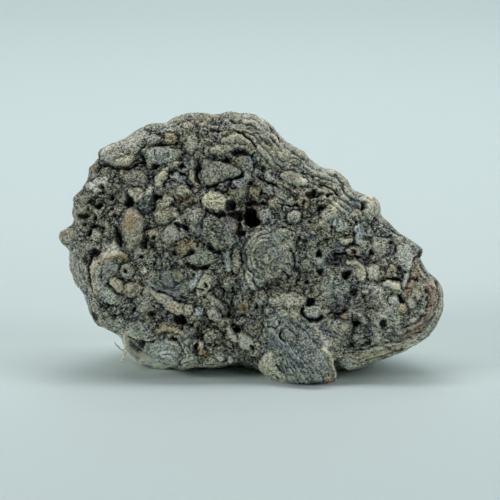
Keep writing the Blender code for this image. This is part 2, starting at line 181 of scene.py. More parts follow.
# Tints of the stone, as linear colours.
TINTS = {
    "white": (0.62, 0.62, 0.56),
    "rind": (0.56, 0.56, 0.46),
    "cream": (0.50, 0.475, 0.345),
    "tan": (0.32, 0.26, 0.155),
    "ochre": (0.30, 0.19, 0.06),
    "olive": (0.17, 0.145, 0.06),
    "rust": (0.16, 0.065, 0.022),
    "orange": (0.35, 0.21, 0.09),
    "brown": (0.085, 0.055, 0.033),
    "blue": (0.13, 0.165, 0.185),
    "ice": (0.36, 0.42, 0.44),
    "grey": (0.16, 0.165, 0.15),
    "pale": (0.34, 0.34, 0.29),
}

# Lumps, lobes and hollows with outlines of their own: rise, how far the edge rounds over,
# lightness, spacing of rings inside, tint, amount, then corners. A hollow has a negative rise, how
# far its edge rounds over and how dark it is painted, which is painted shade, then corners.
FORMS = (
    # The upper left: the pale lobe and the blocks under it.
    (1.0, 2.0, 0.03, 0.0, "pale", 0.15, (-29.8, 45.1), (-28.8, 46.5), (-26.4, 48.1), (-24.0, 49.7),
     (-21.6, 50.7), (-20.2, 49.7), (-20.4, 47.3), (-21.8, 46.1), (-22.6, 45.1), (-23.6, 43.7),
     (-25.6, 42.9), (-27.4, 43.3), (-29.0, 43.9)),
    (0.3, 0.6, 0.1, 0.0, "cream", 0.6, (-29.6, 45.3), (-29.2, 46.3), (-28.0, 46.9), (-26.6, 47.3),
     (-26.0, 46.7), (-27.6, 45.9), (-28.8, 44.9)),
    (0.4, 0.5, 0.12, 0.0, "cream", 0.7, (-26.6, 43.7), (-24.8, 44.3), (-23.4, 45.3), (-22.6, 44.7),
     (-23.8, 43.3), (-25.6, 42.9)),
    (0.8, 1.2, 0.07, 0.9, "ice", 0.3, (-20.2, 45.1), (-19.8, 46.5), (-18.4, 47.1), (-16.6, 47.1),
     (-15.4, 46.5), (-14.6, 45.3), (-14.8, 43.9), (-16.6, 43.5), (-18.6, 43.5), (-19.8, 44.3)),
    (0.3, 0.6, -0.04, 0.5, "blue", 0.5, (-18.6, 45.7), (-18.0, 46.3), (-17.0, 46.5), (-16.2, 45.9),
     (-16.2, 44.9), (-17.2, 44.5), (-18.2, 44.7)),
    (0.7, 0.8, 0.06, 0.7, "ochre", 0.5, (-17.0, 48.1), (-16.6, 49.1), (-15.6, 49.5), (-14.6, 49.1),
     (-14.0, 48.3), (-14.6, 47.5), (-16.0, 47.3)),
    (0.6, 0.8, 0.05, 0.0, "ice", 0.3, (-20.6, 48.9), (-19.4, 49.7), (-18.0, 49.1), (-17.6, 47.9),
     (-19.0, 47.3), (-20.4, 47.7)),
    (-1.4, 0.6, 1.0, (-20.0, 42.5), (-18.8, 43.7), (-17.6, 43.1), (-18.4, 42.3),
     (-19.4, 42.1)),
    (1.0, 1.2, 0.02, 0.0, "brown", 0.35, (-25.2, 40.5), (-24.4, 41.7), (-23.0, 42.3),
     (-21.4, 41.9), (-20.4, 41.1), (-20.2, 39.9), (-21.8, 39.1), (-23.6, 39.1), (-24.8, 39.7)),
    (1.0, 0.9, 0.2, 0.0, "cream", 0.7, (-19.2, 39.3), (-19.0, 40.7), (-18.0, 41.9), (-16.8, 42.5),
     (-15.8, 42.5), (-15.8, 41.5), (-16.8, 40.5), (-17.4, 39.3), (-18.4, 38.9)),
    (0.6, 0.8, 0.1, 0.0, "ice", 0.4, (-16.0, 41.1), (-14.4, 41.7), (-13.0, 41.3), (-12.2, 40.7),
     (-13.4, 40.1), (-15.2, 40.3)),
    (0.8, 0.8, 0.08, 0.0, "tan", 0.6, (-11.8, 42.3), (-10.8, 42.1), (-10.2, 40.5), (-10.0, 38.9),
     (-10.8, 38.7), (-11.6, 40.1)),
    # The left shoulder.
    (0.5, 0.8, 0.14, 0.0, "white", 0.35, (-31.8, 39.5), (-30.6, 40.7), (-28.8, 41.1),
     (-28.0, 40.1), (-28.4, 38.5), (-30.0, 37.7), (-31.4, 38.3)),
    (0.9, 1.0, 0.18, 0.0, "cream", 0.6, (-24.2, 37.9), (-23.2, 38.9), (-21.6, 38.5), (-20.8, 37.3),
     (-21.8, 35.9), (-23.2, 36.3)),
    (0.7, 0.7, 0.16, 0.0, "white", 0.5, (-21.0, 38.5), (-20.2, 39.3), (-19.4, 38.7), (-19.4, 37.5),
     (-20.4, 37.3)),
    (-1.6, 0.5, 1.0, (-24.8, 35.5), (-23.8, 37.3), (-23.0, 36.1), (-23.0, 34.9),
     (-24.2, 34.9)),
    (0.25, 1.0, -0.14, 0.0, "blue", 0.6, (-22.2, 34.9), (-21.8, 36.5), (-20.4, 36.9),
     (-19.2, 36.3), (-19.0, 34.7), (-20.2, 33.9), (-21.4, 34.1)),
    (1.1, 2.4, 0.02, 0.0, "brown", 0.35, (-24.8, 33.9), (-23.4, 34.9), (-21.8, 34.1),
     (-20.8, 32.1), (-20.8, 29.3), (-21.8, 27.1), (-23.2, 25.7), (-24.6, 27.3), (-25.6, 29.7),
     (-25.4, 32.3)),
    (1.1, 1.2, -0.06, 0.8, "olive", 0.6, (-38.0, 29.1), (-37.4, 30.5), (-36.0, 30.9),
     (-34.6, 30.3), (-34.2, 28.9), (-35.2, 27.7), (-37.0, 27.9)),
    (0.9, 1.0, 0.06, 0.7, "pale", 0.3, (-31.8, 29.1), (-31.2, 30.3), (-30.0, 30.5), (-29.0, 29.5),
     (-29.4, 28.1), (-30.8, 27.7)),
    (0.6, 0.8, 0.08, 0.0, "pale", 0.3, (-33.4, 27.5), (-31.8, 28.5), (-29.2, 27.3), (-30.0, 26.1),
     (-32.0, 26.3)),
    (-1.3, 0.5, 0.9, (-31.6, 26.3), (-29.8, 26.3), (-29.4, 25.3), (-30.8, 24.9)),
    (-1.3, 0.5, 0.9, (-30.8, 35.7), (-29.8, 36.1), (-29.0, 35.5), (-29.6, 34.7),
     (-30.6, 34.9)),
    (-1.3, 0.5, 0.9, (-33.8, 33.3), (-32.8, 33.7), (-31.8, 33.1), (-32.8, 32.5),
     (-33.6, 32.7)),
    (-1.2, 0.5, 0.9, (-27.2, 33.1), (-26.4, 33.7), (-25.8, 33.1), (-26.4, 32.3)),
    # The scroll at the lower left.
    (0.5, 0.8, 0.0, 0.8, "blue", 0.45, (-28.8, 22.9), (-27.6, 23.9), (-26.2, 23.9), (-25.4, 23.1),
     (-26.4, 21.9), (-27.6, 20.5), (-28.4, 19.7), (-29.0, 21.1)),
    (0.9, 0.9, 0.1, 0.0, "tan", 0.4, (-27.6, 21.1), (-26.4, 21.1), (-25.2, 20.5), (-24.4, 19.1),
     (-24.6, 17.9), (-25.6, 17.9), (-26.6, 18.9), (-27.4, 19.9)),
    (0.9, 1.0, 0.0, 0.6, "blue", 0.25, (-25.8, 22.3), (-25.2, 23.5), (-24.0, 23.9), (-22.8, 23.1),
     (-22.6, 21.7), (-23.8, 20.7), (-25.0, 21.1)),
    (0.8, 1.3, 0.04, 0.9, "tan", 0.3, (-24.8, 18.5), (-24.2, 20.1), (-22.8, 20.9), (-21.4, 20.3),
     (-21.0, 18.7), (-22.2, 17.1), (-23.6, 16.9), (-24.4, 17.5)),
    (0.8, 1.4, 0.03, 0.9, "ice", 0.25, (-29.4, 17.3), (-28.8, 18.7), (-27.4, 19.3), (-25.8, 18.5),
     (-25.6, 16.9), (-26.8, 15.7), (-28.4, 15.9)),
    (0.6, 0.5, 0.1, 0.0, "white", 0.4, (-21.8, 22.5), (-21.0, 23.1), (-20.0, 22.5), (-20.6, 21.7),
     (-21.6, 21.9)),
    (0.6, 0.8, 0.1, 0.0, "pale", 0.4, (-21.2, 18.5), (-20.2, 19.5), (-19.2, 18.5), (-19.6, 17.1),
     (-20.8, 17.1)),
    (0.6, 0.9, 0.05, 0.7, "pale", 0.15, (-23.2, 26.1), (-22.4, 27.5), (-20.8, 27.5), (-20.0, 26.1),
     (-20.4, 24.3), (-22.0, 23.9), (-23.0, 24.7)),
    (0.6, 0.8, 0.05, 0.6, "pale", 0.2, (-26.8, 12.3), (-26.2, 13.5), (-25.0, 13.5), (-24.4, 12.5),
     (-25.0, 11.3), (-26.4, 11.3)),
    (0.9, 1.6, 0.0, 1.0, "blue", 0.2, (-24.8, 9.9), (-24.0, 11.7), (-22.4, 12.7), (-20.6, 12.3),
     (-19.4, 10.9), (-19.0, 9.5), (-21.0, 9.3), (-23.0, 9.5)),
    (-1.4, 0.5, 1.0, (-31.8, 13.5), (-31.0, 14.3), (-30.2, 13.5), (-30.2, 12.3),
     (-31.2, 12.5)),
    # The smooth pool and what lies under it.
    (1.0, 1.2, 0.15, 0.0, "cream", 0.4, (-19.6, 18.9), (-18.0, 17.9), (-15.6, 16.9), (-13.4, 15.9),
     (-12.4, 14.3), (-14.4, 13.5), (-16.8, 14.9), (-19.0, 16.9)),
    (-2.2, 0.6, 1.0, (-15.2, 12.5), (-14.6, 13.5), (-12.8, 13.3), (-12.2, 12.3),
     (-13.2, 11.5), (-14.4, 11.9)),
    (0.4, 0.8, -0.04, 0.0, "blue", 0.45, (-17.4, 21.7), (-16.0, 22.5), (-14.8, 21.9),
     (-14.4, 20.3), (-15.0, 18.9), (-16.6, 19.1), (-17.6, 20.3)),
    (0.4, 0.8, 0.05, 0.0, "tan", 0.5, (-15.2, 22.1), (-13.8, 22.3), (-13.2, 20.9), (-13.8, 19.7),
     (-14.8, 20.3)),
    (0.5, 0.5, 0.08, 0.0, "ice", 0.6, (-10.4, 22.3), (-9.4, 22.1), (-10.2, 20.5), (-11.0, 18.9),
     (-12.0, 18.1), (-11.8, 19.9)),
    (0.7, 1.0, 0.08, 0.0, "cream", 0.4, (-9.6, 21.5), (-8.4, 21.9), (-7.4, 20.5), (-7.8, 18.9),
     (-8.8, 17.3), (-10.2, 17.3), (-10.6, 18.9)),
    (0.7, 0.8, 0.1, 0.0, "cream", 0.5, (-13.2, 15.3), (-12.0, 15.7), (-11.2, 14.7), (-11.8, 13.3),
     (-13.0, 13.5)),
    (0.4, 0.5, 0.12, 0.0, "ice", 0.9, (-11.2, 14.7), (-10.0, 15.3), (-9.2, 14.7), (-9.8, 13.7),
     (-11.0, 13.7)),
    (0.8, 1.0, 0.12, 0.0, "pale", 0.4, (-8.6, 14.5), (-7.2, 15.3), (-6.0, 14.3), (-5.6, 12.9),
     (-7.0, 12.1), (-8.4, 12.9)),
    (-1.2, 0.6, 0.75, (-4.8, 15.1), (-3.6, 14.9), (-3.4, 13.5), (-4.6, 13.1)),
    (0.7, 0.9, 0.05, 0.0, "ochre", 0.45, (-18.8, 10.3), (-17.6, 11.5), (-15.6, 11.9),
     (-13.6, 11.1), (-12.8, 9.7), (-14.0, 10.1), (-16.0, 10.7), (-17.8, 9.9)),
    (-1.6, 0.5, 1.0, (-15.8, 9.1), (-15.0, 9.5), (-14.0, 9.1), (-14.8, 8.5)),
    # The fan and the lumps along the lower edge.
    (0.9, 1.6, 0.02, 0.0, "ice", 0.2, (-20.8, 4.5), (-20.2, 6.9), (-18.4, 8.5), (-16.4, 9.1),
     (-14.4, 8.5), (-13.2, 6.5), (-13.8, 4.1), (-16.0, 2.9), (-18.4, 3.3)),
    (0.5, 0.8, 0.14, 0.0, "white", 0.45, (-18.0, 6.1), (-17.2, 6.9), (-16.2, 6.5), (-16.2, 5.5),
     (-17.4, 5.1)),
    (0.7, 1.4, 0.02, 0.0, "pale", 0.25, (-13.8, 6.1), (-12.4, 7.7), (-11.2, 6.5), (-10.4, 4.9),
     (-10.6, 3.3), (-12.4, 2.9), (-13.8, 3.3)),
    (-2.2, 0.6, 1.0, (-22.8, 8.3), (-21.8, 8.5), (-20.4, 8.3), (-21.0, 7.1),
     (-22.0, 6.5)),
    (1.2, 1.2, 0.06, 0.0, "pale", 0.5, (-2.6, 9.5), (-1.2, 10.3), (0.2, 9.5), (1.0, 8.1),
     (0.2, 6.9), (-1.2, 6.7), (-2.4, 7.5)),
    (0.7, 0.7, 0.13, 0.0, "pale", 0.6, (-4.8, 11.9), (-3.8, 11.3), (-2.8, 9.5), (-2.2, 7.9),
     (-3.6, 8.3), (-4.6, 9.9)),
    (-1.8, 0.5, 0.8, (-3.6, 10.9), (-2.6, 11.3), (-1.8, 10.7), (-2.6, 9.9)),
    (0.7, 0.7, 0.18, 0.0, "cream", 0.8, (-11.2, 8.3), (-10.2, 8.9), (-9.2, 8.3), (-9.2, 7.1),
     (-10.4, 6.9)),
    (0.4, 0.5, 0.06, 0.0, "orange", 0.9, (-10.2, 6.5), (-9.2, 7.1), (-8.2, 6.5), (-8.8, 5.7),
     (-10.0, 5.9)),
    (0.6, 0.5, 0.16, 0.0, "white", 0.5, (-6.8, 5.3), (-5.8, 5.9), (-4.8, 5.1), (-5.6, 4.3)),
    (0.6, 0.5, 0.16, 0.0, "white", 0.5, (-4.8, 5.1), (-3.8, 5.7), (-3.2, 4.9), (-4.0, 4.1)),
    # The crusted mound at the middle.
    (1.3, 2.6, -0.05, 0.0, "grey", 0.3, (-9.2, 32.3), (-7.6, 33.9), (-5.6, 33.9), (-4.0, 32.9),
     (-2.6, 31.3), (-2.4, 29.3), (-3.2, 27.7), (-4.8, 26.9), (-6.8, 26.7), (-8.4, 27.7),
     (-9.4, 29.3)),
    (0.4, 0.8, 0.0, 0.0, "brown", 0.45, (-4.0, 33.1), (-3.0, 33.1), (-2.2, 31.7), (-2.2, 30.1),
     (-3.0, 29.3), (-3.8, 30.1), (-4.2, 31.7)),
    (0.9, 1.2, 0.03, 0.0, "grey", 0.4, (-17.4, 30.1), (-16.0, 31.3), (-14.4, 31.3), (-13.8, 30.1),
     (-14.2, 28.3), (-15.6, 27.5), (-17.0, 27.9), (-17.6, 28.9)),
    (0.9, 1.5, 0.02, 0.0, "olive", 0.3, (-18.8, 34.1), (-17.6, 35.1), (-15.6, 35.1), (-14.0, 34.3),
     (-14.2, 32.7), (-15.6, 31.9), (-17.4, 31.5), (-18.6, 32.3)),
    (0.8, 1.2, 0.04, 0.0, "grey", 0.2, (-13.2, 33.7), (-12.0, 35.1), (-10.0, 34.9), (-8.8, 33.7),
     (-9.4, 32.5), (-10.8, 31.3), (-12.4, 31.7)),
    (0.9, 1.2, 0.02, 0.0, "ochre", 0.5, (-14.6, 26.9), (-13.8, 28.3), (-12.0, 28.5), (-10.8, 27.5),
     (-10.6, 25.9), (-12.0, 25.1), (-13.8, 25.3)),
    (0.7, 0.9, 0.1, 0.0, "cream", 0.5, (-18.4, 35.7), (-18.0, 36.9), (-16.6, 37.5), (-15.2, 37.3),
     (-14.8, 36.1), (-16.0, 35.1), (-17.6, 34.7)),
    (0.7, 0.9, 0.06, 0.0, "cream", 0.3, (-14.8, 38.5), (-13.2, 39.3), (-11.6, 38.7), (-11.4, 37.3),
     (-12.8, 36.7), (-14.4, 37.1)),
    (0.3, 0.5, 0.05, 0.0, "orange", 0.7, (-13.4, 36.1), (-12.6, 36.7), (-11.8, 36.1),
     (-12.2, 35.1), (-13.2, 35.3)),
    (0.7, 0.7, 0.05, 0.7, "tan", 0.5, (-20.6, 29.3), (-20.0, 30.5), (-18.6, 30.7), (-17.8, 29.5),
     (-18.4, 28.1), (-19.8, 27.9)),
    (-1.0, 0.4, 0.8, (-19.6, 29.3), (-19.0, 29.9), (-18.6, 29.3), (-19.0, 28.7)),
    (0.6, 1.0, 0.04, 0.0, "grey", 0.3, (-12.8, 24.1), (-11.6, 25.5), (-10.0, 26.5), (-8.6, 26.9),
     (-8.2, 25.3), (-8.8, 23.9), (-10.8, 23.7)),
    (-1.6, 0.5, 1.0, (-13.4, 23.7), (-11.8, 23.5), (-10.2, 23.3), (-8.6, 23.5),
     (-7.8, 24.1), (-8.4, 22.7), (-10.4, 22.5), (-12.2, 22.9)),
    (-1.3, 0.5, 0.9, (-8.0, 27.9), (-7.2, 26.7), (-5.4, 26.1), (-6.0, 25.7),
     (-7.6, 26.1), (-8.4, 27.1)),
    (-1.2, 0.4, 0.9, (-14.0, 24.7), (-12.6, 25.7), (-11.4, 26.5), (-10.8, 25.9),
     (-12.4, 25.1), (-13.6, 24.3)),
    (-1.2, 0.5, 0.9, (-14.8, 31.9), (-13.2, 31.7), (-12.0, 30.9), (-12.0, 30.3),
     (-13.6, 30.9), (-14.8, 31.3)),
    (-0.8, 0.5, 0.7, (-19.6, 37.1), (-18.4, 37.7), (-17.0, 37.1), (-17.8, 36.3),
     (-19.0, 36.1)),
    (-0.7, 0.5, 0.6, (-21.4, 28.5), (-20.6, 29.3), (-20.2, 27.9), (-20.6, 26.5),
     (-21.4, 26.9)),
    # The main rosette.
    (0.3, 0.8, 0.08, 0.0, "ice", 0.75, (-5.0, 25.9), (-4.2, 26.3), (-3.6, 24.9), (-3.6, 22.9),
     (-4.2, 21.9), (-5.0, 23.3)),
    (0.5, 0.8, 0.05, 0.0, "tan", 0.5, (-3.4, 26.9), (-2.4, 27.1), (-2.0, 25.3), (-2.2, 22.9),
     (-2.8, 21.5), (-3.6, 22.9), (-3.6, 25.3)),
    (-0.4, 0.6, 0.6, (-1.8, 26.5), (-0.8, 26.1), (-0.4, 24.1), (-0.6, 21.7),
     (-1.4, 21.3), (-2.0, 22.9)),
    (0.7, 0.7, 0.13, 0.0, "cream", 0.5, (-0.4, 22.5), (0.4, 21.9), (0.6, 20.1), (1.4, 18.7),
     (0.4, 18.5), (-0.6, 19.7), (-1.0, 21.1)),
    (0.5, 0.8, 0.03, 0.55, "pale", 0.2, (2.6, 25.1), (3.0, 25.9), (3.8, 26.1), (4.6, 25.5),
     (4.6, 24.5), (4.0, 23.9), (3.2, 23.9), (2.6, 24.5)),
    (-0.5, 0.5, 0.6, (3.2, 25.1), (3.6, 25.7), (4.2, 25.1), (3.8, 24.5)),
    (-0.7, 1.4, 0.5, (2.4, 19.3), (3.4, 20.7), (5.6, 21.3), (7.0, 20.5),
     (6.8, 18.7), (4.8, 17.9), (3.0, 18.1)),
    # Round the deep hole.
    (1.1, 1.0, 0.15, 0.0, "cream", 0.7, (-9.6, 35.9), (-9.0, 37.3), (-8.2, 38.3), (-7.0, 37.9),
     (-5.8, 38.1), (-4.8, 36.9), (-5.2, 35.7), (-5.0, 34.5), (-6.2, 33.7), (-7.6, 34.5),
     (-8.8, 34.9)),
    (-1.8, 0.7, 1.0, (-9.2, 34.9), (-8.0, 34.1), (-6.4, 33.5), (-4.8, 33.9),
     (-3.4, 34.3), (-2.6, 35.7), (-4.8, 36.7), (-4.4, 35.1), (-5.2, 33.7), (-4.0, 33.1),
     (-5.6, 32.7), (-7.6, 33.3)),
    (-1.6, 0.8, 0.9, (-4.8, 33.7), (-2.8, 34.3), (-1.2, 33.7), (-1.8, 32.1),
     (-1.2, 30.1), (-1.8, 28.7), (-2.8, 29.7), (-2.4, 31.3), (-3.4, 33.1)),
    (-4.4, 1.0, 1.0, (-0.8, 34.9), (0.4, 35.1), (1.2, 33.7), (1.8, 32.1),
     (1.0, 31.1), (-0.2, 30.9), (-1.0, 32.1), (-1.4, 33.9)),
    (-1.5, 0.5, 1.0, (-1.2, 36.1), (0.8, 36.1), (3.2, 35.7), (3.0, 35.1),
     (0.8, 35.3), (-1.0, 35.3)),
    (0.5, 0.8, 0.08, 0.0, "pale", 0.3, (1.6, 34.3), (3.0, 34.7), (4.2, 33.9), (4.0, 32.5),
     (2.8, 31.7), (2.0, 32.5)),
    (0.9, 1.2, 0.03, 0.0, "pale", 0.25, (7.2, 32.9), (7.6, 34.1), (8.8, 34.5), (10.0, 33.7),
     (10.0, 32.3), (8.8, 31.7), (7.6, 31.9)),
    # The ledges and arches of the top.
    (1.2, 0.6, 0.02, 0.0, "grey", 0.45, (-9.2, 43.5), (-8.6, 44.5), (-7.2, 43.9), (-6.0, 44.9),
     (-5.0, 43.1), (-3.2, 43.3), (-2.0, 42.3), (-1.4, 41.9), (-2.4, 40.9), (-4.4, 40.5),
     (-6.6, 39.9), (-8.6, 39.1), (-9.0, 40.5), (-9.6, 42.1)),
    (0.3, 0.5, 0.02, 0.0, "rust", 0.5, (-3.2, 43.9), (-2.2, 44.9), (-1.2, 44.3), (-1.6, 42.9),
     (-2.8, 42.9)),
    (0.8, 1.0, 0.04, 0.0, "olive", 0.3, (-6.0, 47.7), (-4.8, 48.7), (-2.8, 49.1), (-0.6, 48.7),
     (0.8, 47.5), (1.2, 46.3), (0.0, 46.3), (-1.2, 47.1), (-3.4, 47.3), (-5.0, 46.9)),
    (0.8, 0.9, 0.06, 0.0, "tan", 0.3, (-8.2, 46.3), (-6.8, 46.9), (-5.6, 46.7), (-3.6, 47.1),
     (-1.8, 46.9), (-0.2, 46.5), (0.8, 45.7), (-0.6, 45.7), (-2.4, 46.3), (-4.0, 45.9),
     (-5.6, 45.1), (-7.2, 45.3)),
    (-1.0, 0.5, 0.9, (-4.0, 45.7), (-2.4, 46.3), (-0.6, 45.9), (0.6, 44.7),
     (-0.6, 44.9), (-2.0, 45.3), (-3.6, 44.7)),
    (-1.3, 0.4, 0.9, (-7.4, 44.3), (-5.6, 44.1), (-4.6, 44.5), (-4.8, 43.5),
     (-6.4, 43.9)),
    (-1.0, 0.5, 0.8, (-10.6, 44.9), (-9.8, 44.5), (-9.8, 41.3), (-10.4, 39.3),
     (-10.8, 41.7)),
    (0.6, 0.8, 0.03, 0.0, "pale", 0.25, (-0.8, 44.1), (0.2, 44.3), (0.8, 42.9), (0.6, 40.9),
     (0.0, 39.7), (-0.8, 40.9)),
    (0.6, 0.9, 0.08, 0.6, "ice", 0.4, (-3.8, 40.1), (-2.8, 40.7), (-1.4, 40.7), (-0.8, 41.3),
     (-0.6, 40.1), (-1.4, 38.9), (-2.8, 38.7), (-3.6, 39.3)),
    (-1.0, 0.3, 1.0, (-1.8, 41.3), (-1.4, 42.1), (-1.0, 41.5), (-1.4, 40.7)),
    (0.9, 0.9, 0.13, 0.6, "ice", 0.4, (2.8, 41.3), (3.4, 42.3), (4.6, 42.3), (5.2, 41.3),
     (4.8, 40.3), (3.4, 40.1)),
    (-0.6, 0.4, 0.6, (4.0, 41.3), (4.4, 41.9), (4.8, 41.3), (4.4, 40.9)),
    (1.1, 1.0, 0.1, 0.8, "cream", 0.25, (6.0, 40.9), (7.0, 41.9), (8.0, 42.3), (9.4, 41.7),
     (10.6, 40.9), (11.6, 39.5), (10.2, 39.1), (8.8, 39.5), (7.2, 39.7)),
    (0.35, 0.8, -0.06, 0.0, "brown", 0.75, (7.0, 41.3), (7.4, 42.1), (8.2, 42.3), (9.0, 41.7),
     (9.2, 40.9), (8.6, 40.3), (7.6, 40.3), (7.0, 40.7)),
    (0.6, 0.7, 0.12, 0.0, "cream", 0.6, (9.4, 40.5), (10.4, 40.9), (11.2, 39.7), (10.0, 39.3)),
    (0.7, 0.8, 0.08, 0.0, "pale", 0.3, (5.0, 39.9), (6.8, 39.1), (8.6, 38.3), (10.4, 37.7),
     (12.6, 37.5), (12.6, 36.9), (10.2, 36.9), (8.0, 37.5), (6.0, 38.5)),
    (-1.4, 0.4, 1.0, (11.0, 37.5), (12.0, 38.1), (13.2, 37.7), (13.2, 36.9),
     (11.6, 36.7)),
    (0.8, 0.7, 0.06, 0.7, "tan", 0.6, (9.2, 35.9), (9.8, 36.9), (11.0, 37.1), (11.8, 36.1),
     (11.2, 34.9), (9.8, 34.9)),
    (-0.7, 0.4, 0.9, (10.0, 35.9), (10.6, 36.5), (11.2, 35.9), (10.6, 35.3)),
    (0.6, 0.8, 0.06, 0.0, "ochre", 0.5, (-0.2, 38.5), (1.2, 39.1), (2.2, 38.3), (1.6, 37.1),
     (0.2, 37.1)),
    (0.6, 1.0, 0.01, 0.8, "olive", 0.4, (-4.2, 38.5), (-2.8, 38.1), (-1.0, 38.3), (-0.4, 37.3),
     (-1.2, 36.3), (-3.0, 36.1), (-4.0, 37.1)),
    (0.6, 1.0, 0.03, 0.9, "grey", 0.3, (2.2, 38.9), (4.0, 39.5), (6.0, 38.9), (7.4, 37.9),
     (8.6, 36.7), (9.6, 35.3), (7.6, 35.5), (5.4, 36.3), (3.4, 37.3)),
    (0.8, 0.9, 0.08, 0.0, "tan", 0.35, (3.6, 36.7), (4.6, 37.3), (6.0, 36.7), (6.4, 35.5),
     (5.2, 34.5), (3.6, 35.1)),
    (0.6, 0.8, 0.05, 0.0, "pale", 0.3, (-12.8, 47.3), (-12.0, 49.1), (-10.6, 48.9), (-10.2, 47.1),
     (-10.8, 45.5), (-12.2, 45.5)),
    (0.6, 0.8, 0.0, 0.0, "olive", 0.4, (8.6, 45.9), (9.8, 46.1), (11.2, 45.3), (11.6, 43.9),
     (10.0, 44.5)),
    # The right shoulder.
    (0.9, 1.2, 0.06, 0.0, "cream", 0.3, (22.0, 36.9), (23.2, 37.5), (24.6, 36.7), (25.6, 35.1),
     (25.2, 33.3), (24.0, 32.3), (22.6, 33.1), (22.2, 34.9)),
    (0.5, 0.5, 0.14, 0.0, "cream", 0.8, (22.6, 37.3), (23.4, 37.9), (24.2, 37.1), (23.6, 36.3)),
    (0.5, 0.6, 0.1, 0.0, "tan", 0.7, (19.8, 33.7), (20.8, 34.5), (22.0, 33.9), (21.6, 32.9),
     (20.4, 32.9)),
    (-1.4, 0.4, 1.0, (22.0, 35.9), (22.6, 35.9), (22.6, 34.5), (22.0, 34.5)),
    (0.7, 1.0, 0.08, 0.0, "ice", 0.3, (16.2, 31.7), (17.2, 32.9), (18.6, 32.5), (19.2, 31.1),
     (18.2, 29.9), (16.8, 30.3)),
    (0.6, 1.0, 0.04, 0.0, "ice", 0.4, (20.4, 31.3), (21.6, 32.1), (22.6, 30.7), (22.2, 28.3),
     (21.0, 27.3), (20.2, 29.1)),
    (0.7, 0.6, 0.18, 0.0, "cream", 0.7, (17.2, 28.9), (18.4, 28.5), (20.0, 28.9), (20.4, 28.3),
     (19.4, 27.5), (18.0, 27.7)),
    (0.8, 0.7, 0.08, 0.7, "tan", 0.5, (19.0, 26.1), (19.8, 27.3), (21.4, 27.5), (22.2, 26.3),
     (21.4, 24.9), (19.8, 24.7)),
    (-0.8, 0.4, 0.9, (20.0, 26.1), (20.6, 26.7), (21.2, 26.1), (20.6, 25.5)),
    (-1.2, 0.4, 0.9, (23.6, 26.1), (24.2, 26.7), (24.8, 26.1), (24.2, 25.5)),
    (-1.0, 0.4, 0.9, (33.2, 25.3), (33.6, 26.7), (34.2, 25.9), (33.8, 24.5)),
    (-0.7, 1.0, 0.5, (14.4, 24.7), (16.0, 26.5), (18.8, 25.7), (21.2, 24.7),
     (19.2, 23.9), (17.6, 23.1), (15.2, 23.3)),
    (0.9, 0.9, 0.2, 0.0, "cream", 0.8, (18.6, 24.5), (20.2, 24.7), (21.8, 24.1), (22.8, 22.9),
     (22.6, 21.3), (21.6, 20.3), (21.0, 21.7), (20.8, 23.3), (19.4, 23.5)),
    (-2.4, 0.6, 1.0, (17.8, 21.5), (18.4, 22.3), (19.6, 22.5), (20.0, 21.5),
     (19.2, 20.7), (18.2, 20.5)),
    (0.5, 0.5, -0.03, 0.6, "olive", 0.6, (20.0, 22.1), (20.4, 23.1), (21.4, 23.1), (22.0, 22.3),
     (21.6, 21.3), (20.4, 21.1)),
    (0.9, 1.0, 0.06, 0.6, "pale", 0.3, (22.8, 22.3), (23.4, 23.5), (24.6, 23.7), (25.4, 22.7),
     (25.4, 21.3), (24.4, 20.5), (23.2, 20.9)),
    # The banded lobe at the right.
    (0.8, 0.9, 0.05, 0.0, "olive", 0.3, (26.8, 21.9), (27.2, 23.3), (28.2, 23.5), (28.8, 22.3),
     (28.6, 20.9), (27.4, 20.7)),
    (0.8, 0.6, 0.16, 0.0, "cream", 0.7, (25.6, 19.5), (26.8, 20.5), (28.2, 20.5), (29.4, 19.5),
     (30.2, 18.1), (28.8, 18.7), (27.6, 19.3)),
    (0.8, 0.8, 0.0, 0.0, "ice", 0.3, (27.2, 17.1), (27.8, 17.7), (28.8, 17.3), (29.2, 16.3),
     (28.4, 15.7), (27.4, 16.1)),
    (-1.4, 0.5, 1.0, (29.0, 17.9), (29.8, 17.3), (30.2, 16.1), (29.4, 15.7),
     (29.2, 16.9)),
    (0.6, 0.5, 0.06, 0.0, "ice", 0.4, (29.6, 19.7), (30.2, 21.7), (31.0, 22.3), (31.0, 20.5),
     (30.4, 18.9)),
    (0.5, 0.6, -0.04, 0.0, "rust", 0.7, (31.2, 21.5), (31.8, 22.7), (32.8, 22.7), (33.0, 21.5),
     (32.2, 20.7), (31.4, 20.7)),
    (0.6, 0.6, 0.02, 0.0, "rust", 0.75, (30.8, 19.5), (31.4, 20.5), (32.4, 20.3), (32.4, 19.3),
     (31.6, 18.7), (30.8, 18.9)),
    (0.5, 0.6, 0.02, 0.0, "rust", 0.6, (29.8, 17.5), (30.4, 18.7), (31.4, 18.7), (31.4, 17.7),
     (30.4, 16.7)),
    (0.7, 0.7, 0.1, 0.0, "ochre", 0.5, (28.8, 15.1), (29.6, 15.9), (30.6, 15.3), (30.6, 14.1),
     (29.4, 13.9)),
    (0.7, 0.8, 0.09, 0.0, "pale", 0.4, (30.4, 16.5), (31.6, 17.1), (32.6, 16.3), (32.0, 14.9),
     (30.8, 15.1)),
    (0.7, 0.6, 0.06, 0.0, "tan", 0.5, (32.0, 18.3), (32.8, 18.7), (33.4, 17.7), (32.8, 16.7),
     (32.0, 17.1)),
    (-1.6, 0.5, 1.0, (20.0, 11.9), (20.8, 12.7), (22.0, 12.5), (22.2, 11.5),
     (21.2, 11.1), (20.4, 11.3)),
    (-1.3, 0.5, 0.7, (25.2, 12.1), (26.0, 12.9), (26.8, 12.1), (26.0, 11.1),
     (25.4, 11.3)),
    (-1.1, 0.4, 0.65, (19.0, 18.3), (20.0, 18.9), (21.2, 18.5), (20.4, 17.5)),
